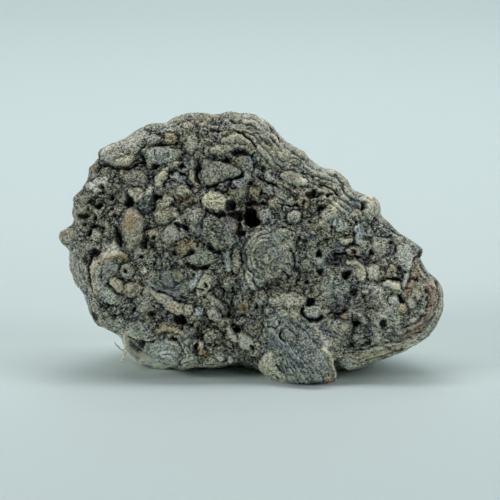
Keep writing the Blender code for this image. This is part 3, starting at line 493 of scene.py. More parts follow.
    (0.9, 1.8, 0.14, 0.0, "ice", 0.25, (29.6, 27.9), (31.6, 27.3), (32.6, 25.5), (32.4, 23.3),
     (30.8, 22.1), (29.2, 23.3), (28.6, 26.1)),
    (-0.9, 0.4, 0.9, (36.4, 20.3), (37.0, 20.3), (37.0, 19.3), (36.4, 19.3)),
    # Between the rosette and the right lobe.
    (-1.9, 0.5, 1.0, (10.8, 15.9), (11.2, 16.7), (12.2, 17.1), (12.8, 16.5),
     (12.4, 15.5), (11.6, 15.3)),
    (0.7, 1.0, -0.04, 0.0, "ice", 0.3, (10.6, 14.7), (11.2, 15.5), (12.2, 15.3), (13.2, 15.5),
     (14.0, 14.7), (13.8, 13.5), (12.6, 12.9), (11.4, 13.7)),
    (0.4, 0.5, 0.0, 0.0, "ochre", 0.6, (17.6, 14.3), (18.4, 14.9), (19.2, 14.1), (19.0, 12.7),
     (18.0, 12.9)),
    (1.0, 1.0, 0.08, 0.0, "pale", 0.4, (16.0, 12.1), (17.6, 12.7), (19.4, 12.5), (20.6, 11.9),
     (20.4, 10.7), (19.0, 9.9), (17.4, 9.9), (16.2, 10.7)),
    (0.4, 0.5, 0.07, 0.0, "olive", 0.5, (17.2, 11.7), (18.8, 12.1), (19.8, 11.5), (19.0, 10.7),
     (17.6, 10.7)),
    (0.6, 0.7, 0.03, 0.6, "grey", 0.3, (20.6, 11.3), (21.6, 12.1), (22.6, 11.3), (22.0, 10.1),
     (20.8, 10.3)),
    # The foot.
    (0.4, 2.0, -0.07, 0.0, "blue", 0.3, (2.4, 12.9), (5.2, 13.3), (8.4, 12.1), (11.2, 9.7),
     (13.6, 6.5), (15.6, 3.7), (16.0, 1.3), (13.6, 0.5), (10.0, 0.5), (7.2, 0.9), (5.4, 3.3),
     (4.2, 6.5), (2.8, 9.7)),
    (0.4, 0.9, -0.02, 0.0, "brown", 0.5, (6.6, 10.3), (7.2, 11.1), (8.4, 9.9), (9.2, 8.7),
     (8.6, 7.9), (7.4, 8.5), (6.8, 9.3)),
    (0.8, 1.4, 0.09, 0.0, "cream", 0.4, (3.2, 16.5), (5.2, 17.5), (7.6, 18.1), (9.4, 17.7),
     (10.6, 16.5), (9.2, 15.3), (6.8, 15.7), (4.4, 15.5)),
    (0.8, 1.0, 0.13, 0.0, "cream", 0.5, (1.4, 2.9), (2.0, 4.9), (3.2, 6.5), (4.8, 6.7), (4.6, 4.9),
     (5.4, 3.3), (7.2, 2.1), (6.8, 0.3), (4.4, 0.9), (2.4, 1.7)),
    (0.3, 0.5, 0.05, 0.0, "orange", 0.9, (14.0, 1.3), (15.0, 2.3), (16.2, 1.9), (16.2, 0.7),
     (15.0, 0.3)),
    (0.7, 0.6, 0.02, 0.5, "pale", 0.3, (4.4, 5.1), (5.2, 6.1), (6.2, 5.7), (6.4, 4.5), (5.2, 4.1)),
    (-1.0, 0.4, 0.9, (1.0, 16.1), (1.8, 15.9), (1.6, 14.9), (1.0, 14.9)),
    (0.5, 0.5, 0.02, 0.0, "ochre", 0.7, (-2.0, 16.1), (-0.8, 16.3), (-0.2, 15.3), (-0.8, 14.1),
     (-2.0, 14.3)),
)

# Knobs, eyes and small lumps: u, v, half width, half height, turn, rise, rings, tint, amount.
KNOBS = (
    (-13.9, 52.2, 0.9, 0.8, 0, 0.6, 0, "olive", 0.6),
    (-2.8, 52.6, 1.3, 0.7, 0, 0.6, 0, "olive", 0.6),
    (-28.2, 31.5, 0.9, 0.8, 0, 0.6, 1, "tan", 0.4),
    (-33.0, 36.4, 1.0, 0.9, 0, 0.6, 0, "grey", 0.3),
    (-31.6, 39.0, 1.1, 0.9, 20, 0.7, 0, "white", 0.5),
    (-29.0, 35.0, 0.9, 0.9, 0, 0.5, 0, "pale", 0.3),
    (-33.0, 28.0, 0.9, 0.8, 0, 0.6, 1, "olive", 0.4),
    (-31.4, 42.6, 0.9, 0.8, 0, 0.4, 0, "rust", 0.7),
    (-16.6, 24.4, 0.8, 0.8, 0, 0.4, 1, "pale", 0.4),
    (12.3, 21.2, 1.0, 0.9, 0, 0.7, 0, "grey", 0.4),
    (21.4, 13.4, 1.1, 1.0, 0, 0.7, 1, "pale", 0.5),
    (16.4, 19.4, 1.0, 0.9, 0, 0.6, 1, "pale", 0.3),
    (24.2, 19.6, 0.9, 0.8, 0, 0.5, 0, "white", 0.5),
    (25.0, 9.2, 1.2, 1.0, 0, 0.6, 1, "pale", 0.4),
    (10.8, 32.3, 0.6, 0.6, 0, 0.4, 0, "white", 0.7),
    (7.2, 29.9, 1.0, 0.8, 0, 0.6, 0, "white", 0.6),
    (-5.4, 5.0, 0.7, 0.5, 0, 0.4, 0, "white", 0.5),
)

# Sets of rings: u, v, half width, half height, turn, first and last radius in half widths,
# spacing in millimetres, relief, from and to in degrees, tint, amount.
SCROLLS = (
    (3.5, 25.1, 5.2, 5.4, 0, 0.34, 1.05, 0.90, 0.40, 80, 262, "blue", 0.2),  # the main rosette
    (3.6, 25.1, 3.0, 3.2, 0, 0.50, 1.05, 0.80, 0.30, 50, 320, "grey", 0.2),
    (9.2, 40.7, 4.2, 3.0, -30, 0.75, 1.1, 0.66, 0.20, 0, 360, "tan", 0.15),
    (-17.4, 45.8, 3.8, 3.0, 0, 0.75, 1.1, 0.60, 0.20, 20, 200, "grey", 0.2),
    (-15.6, 23.4, 6.6, 6.8, 0, 0.62, 1.0, 0.80, 0.24, 232, 300, "blue", 0.3),  # the pool
    (-16.2, 3.8, 5.2, 4.8, 0, 0.3, 1.05, 0.82, 0.50, 20, 195, "ice", 0.25),  # the fan
    (-10.6, 1.4, 6.0, 5.6, 0, 0.4, 1.05, 0.76, 0.44, 75, 150, "pale", 0.25),
    (29.2, 16.4, 9.6, 10.6, 0, 0.50, 0.98, 1.05, 0.46, -118, 48, "pale", 0.15),  # the right lobe
    (-1.2, 43.6, 7.2, 6.6, 0, 0.85, 1.15, 0.90, 0.30, 20, 130, "tan", 0.15),  # arches of the top
    (23.8, 35.1, 3.4, 3.8, 0, 0.75, 1.1, 0.66, 0.20, 90, 260, "grey", 0.15),
    (17.0, 33.0, 7.0, 6.4, -25, 0.45, 1.02, 0.92, 0.22, 10, 110, "pale", 0.15),
    (-34.2, 22.6, 3.0, 6.0, 0, 0.3, 1.0, 0.66, 0.20, 90, 270, "pale", 0.3),
)

# Fibres that fan out: u, v, inner and outer reach, from and to in degrees, fibres, relief.
FANS = (
    (1.2, 16.0, 2.0, 19.0, 284, 318, 12, 0.34),  # the fan that ends in the foot
    (-9.4, 36.4, 0.5, 5.0, -60, 60, 9, 0.55),  # the pale serrated lump
)

# Raised lines: half width, rise, tint, amount, then points.
RIDGES = (
    (0.5, 0.7, "tan", 0.45, (-24.6, 25.1), (-26.6, 25.3), (-28.4, 24.9), (-30.0, 23.9),
     (-30.8, 22.5), (-31.0, 20.9), (-30.4, 19.1), (-29.6, 17.3)),
    (0.35, 0.4, "pale", 0.5, (-25.6, 24.3), (-27.6, 24.3), (-29.0, 23.3), (-29.8, 21.9),
     (-29.8, 20.3), (-29.2, 18.5)),
    (0.45, -0.1, "ochre", 0.9, (-28.0, 24.9), (-26.4, 25.1), (-24.6, 25.1)),
    (0.35, 0.5, "cream", 0.7, (-25.6, 10.3), (-23.6, 9.9), (-21.2, 8.9), (-19.0, 8.9)),
    (0.3, 0.5, "cream", 0.7, (15.4, 12.5), (15.8, 11.3), (16.6, 10.1)),
    (0.4, 0.6, "cream", 0.9, (14.4, 7.1), (15.6, 5.7), (16.2, 4.1), (16.8, 2.3), (16.4, 0.9)),
    (0.45, 0.3, "ice", 0.45, (1.6, 14.1), (3.2, 11.9), (5.2, 9.9), (7.2, 7.7), (9.2, 5.3)),
    (0.35, 0.2, "pale", 0.5, (3.2, 14.3), (5.2, 12.1), (7.4, 10.3)),
    (0.7, -0.2, "blue", 0.8, (3.6, 8.1), (6.0, 7.7), (8.0, 5.7), (9.6, 3.7)),
    (0.5, -0.1, "blue", 0.6, (2.4, 12.1), (4.0, 9.7), (5.6, 8.1)),
    (0.4, 0.2, "ice", 0.4, (10.0, 12.1), (11.4, 9.5), (13.2, 6.9), (14.4, 4.5)),
    (0.35, 0.2, "pale", 0.4, (12.4, 12.1), (14.0, 9.3), (15.2, 6.9)),
    (0.4, 0.6, "tan", 0.5, (5.2, 39.9), (7.0, 38.9), (9.0, 38.1), (11.2, 37.7)),
    (0.4, 0.6, "cream", 0.5, (12.8, 30.9), (14.4, 31.9), (16.0, 33.5), (17.2, 35.5)),
    (0.35, 0.5, "tan", 0.4, (12.4, 32.3), (14.0, 33.3), (15.4, 34.9)),
    (0.6, 0.3, "rust", 0.95, (35.6, 19.1), (35.6, 16.5), (35.2, 14.5), (34.2, 12.7), (32.8, 11.3),
     (31.6, 9.9)),
    (0.5, 0.2, "rust", 0.5, (24.2, 23.9), (25.4, 23.9), (26.2, 22.7), (26.4, 21.3), (25.6, 20.3)),
    (0.4, 0.3, "ochre", 0.6, (22.2, 5.1), (24.4, 5.3), (27.0, 5.9), (29.2, 6.7), (30.6, 7.3)),
    (0.3, 0.4, "pale", 0.6, (33.6, 19.3), (34.2, 17.1), (33.8, 15.1), (32.6, 13.3), (30.8, 12.1)),
    (0.35, 0.4, "pale", 0.5, (35.0, 19.7), (35.4, 17.1), (35.0, 14.9), (33.8, 12.9), (31.8, 11.3),
     (29.2, 10.3)),
    (0.4, 0.4, "pale", 0.6, (37.4, 19.3), (37.8, 16.5), (37.0, 13.7), (35.4, 11.1), (32.8, 9.1)),
    (0.4, 0.4, "pale", 0.5, (31.6, 9.3), (29.2, 8.1), (26.0, 7.3), (22.8, 7.1)),
    (0.35, 0.4, "pale", 0.5, (1.0, 52.3), (3.0, 51.1), (4.6, 49.3), (5.8, 47.1)),
    (0.3, 0.4, "cream", 0.7, (1.6, 53.1), (3.6, 51.7), (5.2, 49.7), (6.4, 47.3)),
    (0.35, 0.4, "pale", 0.4, (14.4, 41.7), (16.4, 41.9), (18.2, 40.5), (19.0, 38.5), (18.4, 36.3)),
    (0.35, 0.4, "tan", 0.4, (15.6, 42.5), (18.0, 41.7), (19.6, 39.7), (20.0, 37.5)),
    (0.35, 0.4, "pale", 0.5, (1.6, 46.5), (3.2, 45.5), (5.2, 43.9), (7.6, 43.3)),
    (0.35, 0.4, "tan", 0.4, (2.4, 47.1), (4.4, 45.9), (6.4, 44.9), (8.8, 44.1)),
    (0.4, 0.5, "pale", 0.5, (-35.0, 25.1), (-34.0, 22.1), (-32.8, 19.9)),
    (0.45, 0.5, "white", 0.5, (-33.2, 24.1), (-32.4, 22.9), (-32.0, 21.7)),
    (0.3, 0.4, "pale", 0.5, (-1.2, 42.3), (-0.4, 41.3), (-0.4, 39.9), (-1.2, 38.7), (-2.6, 38.3)),
    (0.3, 0.3, "ice", 0.6, (-19.6, 19.5), (-17.2, 18.3), (-14.0, 17.5), (-11.6, 17.3)),
    (0.3, 0.3, "blue", 0.5, (-18.8, 18.3), (-16.4, 17.3), (-13.6, 16.7)),
    (0.45, 0.1, "rust", 0.7, (34.8, 19.7), (35.6, 17.3), (35.2, 14.9), (34.2, 12.9), (32.4, 10.9),
     (30.0, 9.3)),
    (0.4, 0.1, "ochre", 0.4, (32.4, 22.9), (33.6, 21.3), (34.2, 18.9)),
)

# Cracks and shadowed grooves: half width, depth, then points.
CRACKS = (
    (0.32, 2.0, (-8.8, 38.7), (-6.6, 39.7), (-4.4, 40.3), (-1.8, 41.1)),
    (0.28, 1.2, (-19.2, 46.9), (-18.0, 47.4), (-16.8, 47.4), (-14.8, 47.2), (-14.0, 47.5)),
    (0.26, 1.2, (-7.6, 49.9), (-5.6, 49.7), (-3.2, 49.7), (-1.0, 49.1), (0.4, 47.9), (1.2, 46.7)),
    (0.26, 1.0, (-20.0, 49.1), (-18.8, 49.3), (-17.8, 49.1)),
    (0.34, 1.8, (-29.2, 43.3), (-27.4, 42.7), (-25.6, 42.3), (-23.8, 42.5), (-22.4, 43.5),
     (-20.8, 44.1)),
    (0.36, 1.8, (-30.2, 44.9), (-29.8, 43.3), (-30.2, 41.9)),
    (0.24, 0.9, (-16.4, 41.9), (-14.8, 41.9), (-12.8, 41.3)),
    (0.28, 1.2, (-26.4, 30.9), (-25.8, 29.3), (-25.6, 27.3)),
    (0.3, 1.6, (-31.4, 24.7), (-31.8, 22.5), (-31.2, 19.5), (-30.4, 17.1), (-29.4, 15.7)),
    (0.22, 0.8, (-23.8, 24.7), (-24.4, 24.1)),
    (0.26, 1.2, (-25.8, 20.9), (-24.4, 20.3), (-22.8, 20.5)),
    (0.26, 1.1, (-28.0, 20.1), (-26.8, 18.7), (-25.6, 17.7)),
    (0.24, 0.9, (-31.6, 30.9), (-30.0, 31.3), (-28.8, 30.7)),
    (0.26, 1.3, (1.6, 40.9), (2.8, 40.1), (4.2, 39.7), (5.4, 39.1)),
    (0.24, 1.0, (6.4, 38.9), (8.0, 38.1), (9.6, 37.3)),
    (0.24, 1.1, (5.4, 35.7), (8.0, 35.3), (10.6, 35.1)),
    (0.26, 0.8, (-1.8, 26.1), (-1.4, 23.7)),
    (0.28, 1.2, (2.4, 18.9), (3.6, 17.1)),
    (0.24, 1.0, (8.0, 26.9), (8.8, 24.3)),
    (0.26, 1.0, (6.6, 22.3), (7.6, 21.1)),
    (0.46, 1.9, (10.2, 15.5), (10.2, 14.3), (10.8, 13.5), (11.8, 12.7), (13.0, 12.3), (14.2, 13.1)),
    (0.36, 1.5, (15.0, 13.7), (16.2, 14.1), (17.6, 13.9), (19.2, 14.5)),
    (0.24, 1.0, (20.2, 12.9), (20.0, 11.9)),
    (0.22, 1.0, (20.2, 30.1), (20.8, 28.5), (20.4, 27.3)),
    (0.28, 1.3, (16.8, 25.7), (18.6, 25.9), (20.2, 25.3), (21.4, 24.9)),
    (0.24, 1.0, (18.0, 29.3), (19.4, 29.5), (20.2, 29.3)),
    (0.28, 1.2, (26.2, 32.1), (28.0, 30.5), (29.6, 29.1)),
    (0.28, 1.2, (31.2, 22.5), (32.0, 23.7), (33.0, 24.9)),
    (0.2, 0.5, (36.6, 19.3), (37.0, 16.5), (36.4, 14.1), (35.2, 12.1), (33.2, 10.3), (30.4, 8.9),
     (26.8, 7.9)),
    (0.18, 0.4, (34.4, 18.5), (34.8, 16.1), (34.2, 14.1), (32.6, 12.3), (30.4, 11.1)),
    (0.26, 1.0, (23.2, 4.3), (25.4, 5.1), (28.0, 5.9), (30.4, 6.7)),
    (0.22, 0.8, (20.0, 6.1), (22.4, 6.9), (25.2, 7.7)),
    (0.28, 1.3, (25.4, 20.3), (26.8, 20.9), (28.4, 20.9), (29.8, 20.1)),
    (0.28, 1.2, (17.2, 5.1), (17.8, 3.5), (18.4, 2.1)),
    (0.24, 1.0, (4.4, 2.1), (6.0, 1.5)),
    (0.22, 0.8, (4.0, 50.9), (4.8, 49.3), (5.8, 47.3)),
    (0.22, 0.8, (16.8, 41.3), (18.2, 39.7), (18.6, 37.7)),
    (0.24, 0.9, (-18.4, 18.1), (-15.6, 17.1), (-12.8, 16.1)),
    (0.24, 0.9, (-12.0, 18.1), (-10.8, 18.7), (-9.2, 18.5)),
    (0.24, 0.9, (-24.0, 9.5), (-22.0, 8.7), (-20.0, 8.5)),
    (0.22, 0.8, (-10.8, 7.5), (-10.0, 9.3), (-8.4, 10.5)),
    (0.22, 0.8, (3.6, 11.5), (5.0, 11.1), (6.2, 12.3)),
    (0.24, 1.0, (6.4, 10.9), (5.8, 9.7), (6.8, 8.3)),
    (0.24, 0.9, (-28.8, 14.5), (-27.6, 15.7), (-26.0, 15.1)),
    (0.24, 0.9, (-27.6, 32.1), (-28.0, 33.7), (-26.8, 34.9)),
    (0.24, 0.9, (10.6, 42.1), (12.4, 40.9), (14.4, 40.5)),
    (0.24, 0.9, (14.0, 39.3), (16.0, 38.7), (17.2, 37.1)),
)

# Pits and holes: u, v, half width, half height, turn, depth.
HOLES = (
    (-13.6, 42.9, 0.5, 0.5, 0, 1.4),
    (-18.2, 37.0, 0.6, 0.5, 0, 1.4),
    (-30.2, 35.2, 0.7, 0.5, 0, 2.0),
    (-33.2, 33.1, 0.8, 0.5, 0, 1.6),
    (-30.6, 32.6, 0.4, 0.5, 0, 1.4),
    (-27.2, 36.8, 0.45, 0.5, 0, 1.4),
    (-32.4, 35.8, 0.4, 0.4, 0, 1.2),
    (-29.2, 38.9, 0.4, 0.4, 0, 1.3),
    (-35.2, 26.6, 0.4, 0.5, 0, 1.0),
    (-31.8, 29.8, 0.5, 0.6, 0, 1.4),
    (-32.6, 31.6, 0.5, 0.4, 0, 1.2),
    (-24.4, 22.2, 0.4, 0.4, 0, 1.0),
    (-21.4, 25.3, 0.35, 0.35, 0, 1.2),
    (-22.8, 14.9, 0.6, 0.5, 0, 1.4),
    (-19.4, 13.9, 0.6, 0.5, 0, 1.2),
    (-16.6, 13.9, 0.4, 0.4, 0, 1.2),
    (-11.7, 11.6, 1.2, 0.5, -20, 1.0),
    (-10.6, 7.5, 0.4, 0.7, 0, 1.3),
    (-14.8, 25.7, 0.4, 0.4, 0, 1.2),
    (15.4, 37.1, 0.6, 0.35, 0, 1.3),
    (13.6, 37.3, 0.5, 0.3, 0, 1.2),
    (14.0, 34.8, 0.8, 0.5, 0, 2.0),
    (13.5, 25.7, 0.6, 0.7, 0, 1.8),
    (14.0, 21.9, 0.5, 0.6, 0, 1.4),
    (11.0, 20.3, 0.5, 0.4, 0, 1.3),
    (21.3, 12.0, 0.6, 0.4, 0, 1.6),
    (-2.8, 10.6, 0.5, 0.4, 30, 1.4),
    (16.9, 4.0, 0.5, 0.9, 10, 1.2),
    (15.0, 28.6, 0.5, 0.4, 0, 1.2),
    (6.4, 30.9, 0.4, 0.3, 0, 1.0),
    (22.4, 17.6, 0.4, 0.4, 0, 1.2),
    (-8.6, 19.6, 0.4, 0.4, 0, 1.2),
    (-3.4, 18.6, 0.4, 0.5, 0, 1.2),
    (9.4, 20.6, 0.5, 0.5, 0, 1.3),
    (27.6, 28.0, 0.4, 0.3, 0, 1.0),
    (-26.8, 13.6, 0.4, 0.3, 0, 1.0),
    (-4.6, 3.6, 0.5, 0.3, 0, 1.0),
    (-9.4, 9.4, 0.4, 0.5, 0, 1.1),
    (0.4, 7.4, 0.4, 0.5, 0, 1.1),
    (2.8, 42.6, 0.4, 0.5, 0, 1.1),
    (-5.8, 33.0, 0.5, 0.4, 0, 1.2),
)

# Tinted places with no relief of their own: u, v, half width, half height, turn, tint, amount.
PATCHES = (
    (-14.6, 37.4, 3.4, 2.0, 0, "olive", 0.45),
    (-16.7, 42.9, 0.5, 0.5, 0, "rust", 0.5),
    (-25.0, 43.3, 0.8, 0.6, 0, "orange", 0.7),
    (-31.0, 42.9, 0.8, 0.8, 0, "rust", 0.6),
    (-17.6, 40.4, 0.3, 0.9, -20, "rust", 0.5),
    (-23.5, 31.8, 1.4, 2.3, 0, "orange", 0.5),
    (-15.4, 15.2, 1.6, 0.8, -30, "orange", 0.7),
    (-33.7, 22.7, 1.6, 3.0, 12, "pale", 0.45),
    (-27.2, 16.1, 0.7, 0.6, 0, "white", 0.8),
    (-22.0, 20.4, 0.7, 0.5, 0, "orange", 0.7),
    (-30.4, 12.4, 0.7, 0.5, 0, "ochre", 0.7),
    (-28.4, 14.2, 1.0, 0.5, 0, "orange", 0.4),
    (-23.6, 8.7, 0.9, 0.9, 0, "rust", 0.8),
    (-16.0, 19.0, 3.4, 1.6, 0, "blue", 0.5),  # the pool
    (-9.8, 30.4, 1.1, 1.6, 0, "ice", 0.6),
    (-2.6, 31.8, 0.9, 2.2, 0, "orange", 0.35),
    (-5.0, 31.0, 3.0, 2.6, 0, "blue", 0.25),
    (-8.6, 5.2, 1.0, 0.5, 0, "ochre", 0.5),
    (5.6, 24.2, 0.9, 0.9, 0, "blue", 0.4),
    (12.2, 28.9, 1.3, 0.9, 0, "blue", 0.6),
    (12.0, 30.7, 1.4, 0.6, 0, "rust", 0.35),
    (5.6, 31.5, 1.0, 1.1, 0, "blue", 0.6),
    (1.6, 33.2, 1.0, 1.4, -20, "olive", 0.4),
    (28.2, 30.7, 1.6, 0.6, -38, "brown", 0.5),
    (20.0, 35.4, 2.4, 2.0, 0, "blue", 0.3),
    (24.8, 16.0, 4.0, 4.4, 0, "white", 0.3),  # the sugary field of the right
    (17.0, 19.8, 2.4, 1.6, 0, "ice", 0.3),
    (31.4, 26.5, 1.0, 0.9, 0, "ice", 0.5),
    (36.6, 20.4, 0.5, 0.5, 0, "orange", 0.6),
    (34.6, 8.7, 2.4, 1.0, 40, "cream", 0.4),
    (31.0, 6.7, 2.6, 0.9, 22, "cream", 0.4),
    (9.4, 8.0, 3.8, 6.4, 32, "blue", 0.45),  # the fan of the foot
    (3.3, 25.2, 5.4, 5.6, 0, "grey", 0.3),
    (4.6, 13.6, 1.6, 3.4, 35, "ice", 0.3),
    (4.2, 8.8, 0.5, 0.5, 0, "rust", 0.6),
    (-20.8, 22.4, 0.5, 0.5, 0, "white", 0.8),
    (-4.7, 19.9, 0.4, 0.3, 0, "white", 0.9),
    (-17.0, 34.5, 0.9, 0.9, 0, "olive", 0.5),
    (-31.4, 20.6, 0.7, 2.4, 0, "tan", 0.35),
    (-22.2, 48.6, 2.0, 1.0, 20, "pale", 0.3),
    (-8.0, 52.2, 2.6, 0.8, 0, "olive", 0.35),
    (24.0, 22.6, 2.6, 2.6, 0, "pale", 0.2),
)

# Broad places lighter or darker, warmer or cooler than the rest: u, v, half width, half height,
# tone, warmth.
SHADES = (
    (-8.0, 49.0, 7.0, 4.5, 0.11, 0.2),
    (16.0, 20.5, 8.0, 8.0, 0.15, -0.4),
    (24.0, 31.0, 4.5, 5.5, 0.15, -0.2),
    # The next place is the lower right rim, which faces down: it is lightened partly for its pale
    # colour and partly as painted light.
    (24.0, 5.0, 8.0, 4.0, 0.20, 0.2),
    (-32.0, 34.5, 4.0, 5.0, 0.10, 0.3),
    (-11.0, 9.0, 5.0, 3.0, 0.13, 0.1),
    (10.0, 42.0, 5.0, 3.0, 0.06, 0.0),
    (-25.0, 42.5, 5.0, 4.0, -0.08, 0.0),
    (-24.4, 29.5, 3.0, 6.0, -0.13, 0.0),
    (-23.0, 20.5, 7.0, 4.0, -0.07, 0.0),
    (9.6, 5.5, 5.0, 4.5, -0.14, -0.3),
    (-12.0, 34.5, 3.4, 3.0, -0.12, 0.4),
    (-6.0, 29.5, 4.0, 4.0, -0.05, -0.4),
    (3.5, 25.0, 5.0, 5.0, 0.0, -0.3),
    (-34.0, 22.0, 2.2, 4.0, 0.12, 0.1),
    (9.0, 24.0, 3.0, 5.0, 0.02, 0.0),
    (26.0, 29.0, 3.5, 4.5, 0.12, 0.0),
    (19.0, 16.0, 5.0, 2.5, 0.13, 0.0),
    (-11.0, 42.0, 3.0, 2.5, 0.12, 0.0),
    (-10.0, 52.5, 8.0, 1.8, 0.09, 0.0),
    (4.0, 48.0, 2.5, 3.0, -0.10, 0.0),
    (-24.5, 33.0, 2.0, 3.0, -0.06, 0.0),
    (8.0, 4.5, 3.0, 3.0, -0.07, 0.0),
    (-10.0, 9.0, 3.5, 2.0, 0.10, 0.0),
    (0.0, 13.0, 2.5, 3.0, 0.10, 0.0),
    (-28.0, 38.5, 2.5, 2.5, 0.10, 0.0),
    (14.0, 34.0, 3.0, 4.0, 0.07, 0.0),
)

# Smooth places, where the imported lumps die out: u, v, half width, half height, turn, share.
CALM = (
    (-16.2, 19.4, 3.6, 2.6, 0, 0.9),
    (-23.0, 30.6, 2.2, 4.6, 0, 0.9),
    (-27.3, 22.3, 4.4, 5.6, 0, 0.6),
    (3.3, 25.2, 5.2, 5.4, 0, 0.75),
    (10.0, 8.0, 7.0, 8.6, 0, 0.6),
    (33.0, 13.0, 6.0, 9.0, 20, 0.55),
    (-0.8, 8.2, 1.6, 1.6, 0, 1.0),
    (9.2, 40.7, 3.0, 2.0, -30, 0.6),
    (-1.0, 48.5, 6.0, 2.6, -6, 0.4),
    (-16.8, 6.0, 4.4, 3.2, 0, 0.5),
)

# Patches of small crystals: u, v, half width, half height, turn, crystal size, rise, seed.
DRUSES = (
    (-14.6, 35.0, 5.0, 3.0, 10, 0.9, 0.30, 301),
    (-5.4, 30.2, 3.2, 3.2, 0, 0.75, 0.22, 311),
    (-12.0, 27.2, 3.2, 1.8, 0, 0.9, 0.30, 321),
    (-21.0, 28.0, 2.6, 2.2, 0, 0.9, 0.22, 331),
    (20.0, 14.6, 5.6, 2.6, 0, 0.8, 0.22, 341),
    (-2.0, 12.0, 3.0, 4.0, 0, 0.9, 0.25, 351),
    (27.0, 21.0, 3.4, 2.2, -30, 0.8, 0.22, 361),
    (7.4, 21.4, 2.2, 3.2, 10, 0.9, 0.25, 371),
)

# Flat facets: height above the lens, its slope along u and v, tint, amount, then corners.
FACETS = (
    (0.9, 0.05, 0.05, "rind", 0.5, (-26.8, 28.5), (-24.6, 25.3), (-28.8, 24.9)),
    (0.9, -0.10, 0.02, "grey", 0.2, (14.0, 7.6), (16.6, 5.6), (16.4, 1.6), (12.6, 1.0),
     (12.0, 5.4)),
)


def outline_radius(angle):
    """Distance from the hub to the outline at each angle: a smooth closed curve through OUTLINE."""
    knots = np.array(OUTLINE) - HUB
    at = np.arctan2(knots[:, 1], knots[:, 0]) % TURN
    order = np.argsort(at)
    at, reach = at[order], np.hypot(knots[:, 0], knots[:, 1])[order]
    at = np.concatenate([at[-2:] - TURN, at, at[:2] + TURN])
    reach = np.concatenate([reach[-2:], reach, reach[:2]])
    slope = np.gradient(reach, at)
    angle = angle % TURN
    i = np.clip(np.searchsorted(at, angle, side="right") - 1, 0, len(at) - 2)
    span = at[i + 1] - at[i]
    t = (angle - at[i]) / span
    return (
        reach[i] * (1 + 2 * t) * (1 - t) ** 2
        + slope[i] * span * t * (1 - t) ** 2
        + reach[i + 1] * t * t * (3 - 2 * t)
        + slope[i + 1] * span * t * t * (t - 1)
    )


def plain_radius(angle, spread=0.3):
    """The outline's radius with its notches and knobs evened out."""
    turns = np.linspace(-spread, spread, 9)
    return np.mean([outline_radius(angle + turn) for turn in turns], axis=0)


def disk_grid(cells):
    """A square grid wrapped onto a disk: each corner's ring, 0 to 1, and its angle."""
    side = np.linspace(-1, 1, cells + 1)
    a, b = np.meshgrid(side, side)
    wide = np.abs(a) > np.abs(b)
    ring = np.where(wide, a, b)
    other = np.where(wide, b, a)
    turn = other / np.where(ring == 0, 1, ring) * math.pi / 4
    angle = np.where(wide, turn, math.pi / 2 - turn) + np.where(ring < 0, math.pi, 0)
    return np.abs(ring), angle


def lens_profile(ring, square, rise):
    """Share of the radius and of the rise at each ring, evenly spaced along the lens's curve."""
    bend = np.linspace(0, math.pi / 2, LENS_STEPS)
    across = np.sin(bend) ** (2 / square)
    up = np.cos(bend) ** (2 / square)
    steps = np.hypot(np.diff(across) * MEAN_RADIUS, np.diff(up) * rise)
    length = np.concatenate([[0], np.cumsum(steps)])
    length /= length[-1]
    return np.interp(ring, length, across), np.interp(ring, length, up)


def ellipse(u, v, centre, half, turn=0.0):
    """Squared distance from an ellipse's centre, 1 on its edge."""
    c, s = math.cos(math.radians(turn)), math.sin(math.radians(turn))
    du, dv = u - centre[0], v - centre[1]
    return ((du * c + dv * s) / half[0]) ** 2 + ((dv * c - du * s) / half[1]) ** 2


def dome(u, v, centre, half):
    """1 at the centre of an ellipse, falling smoothly to 0 at its edge."""
    return np.clip(1 - ellipse(u, v, centre, half), 0, 1) ** 2


def cap(u, v, centre, half, turn):
    """1 at the centre of an ellipse, falling ever more steeply to 0 at its edge."""
    return np.clip(1 - ellipse(u, v, centre, half, turn) ** 1.5, 0, 1)


def ball(points, centre, reach):
    """Squared distance from a ball's centre, 1 on its surface."""
    return ((points - centre) ** 2).sum(1) / reach**2


def bell(apart, width):
    """1 where a distance is 0, falling off on both sides over about this width."""
    return np.exp(-((apart / width) ** 2))


def crown(near, width=0.7):
    """Height of a packed lump at a squared distance from its middle, below 0 beside it."""
    return np.clip(1 - near / width, -0.3, 1)


def line_distance(u, v, points):
    """Distance to a line through points."""
    nearest = np.full(u.shape, np.inf)
    for (u0, v0), (u1, v1) in zip(points, points[1:]):
        du, dv = u1 - u0, v1 - v0
        t = np.clip(((u - u0) * du + (v - v0) * dv) / (du * du + dv * dv), 0, 1)
        nearest = np.minimum(nearest, np.hypot(u - u0 - t * du, v - v0 - t * dv))
    return nearest


def rounded(corners):
    """A closed outline with its corners cut twice, so that it bends."""
    ring = np.array(corners)
    for _ in range(2):
        ahead = np.roll(ring, -1, 0)
        ring = np.stack([0.75 * ring + 0.25 * ahead, 0.25 * ring + 0.75 * ahead], 1).reshape(-1, 2)
    return [tuple(place) for place in ring]


def inside(u, v, corners):
    """True where a point is inside a polygon."""
    odd = np.zeros(u.shape, bool)
    for (u0, v0), (u1, v1) in zip(corners, corners[1:] + corners[:1]):
        crosses = (v0 > v) != (v1 > v)
        odd ^= crosses & (u < (u1 - u0) * (v - v0) / (v1 - v0 if v1 != v0 else 1e-9) + u0)
    return odd


def depth_inside(u, v, corners):
    """How far each point is inside a polygon, negative outside."""
    edge = line_distance(u, v, corners + corners[:1])
    return np.where(inside(u, v, corners), edge, -edge)


def shoulder(deep, soft):
    """0 at an edge, rounding over to 1 this deep inside it."""
    return np.sqrt(1 - (1 - np.clip(deep / soft, 0, 1)) ** 2)


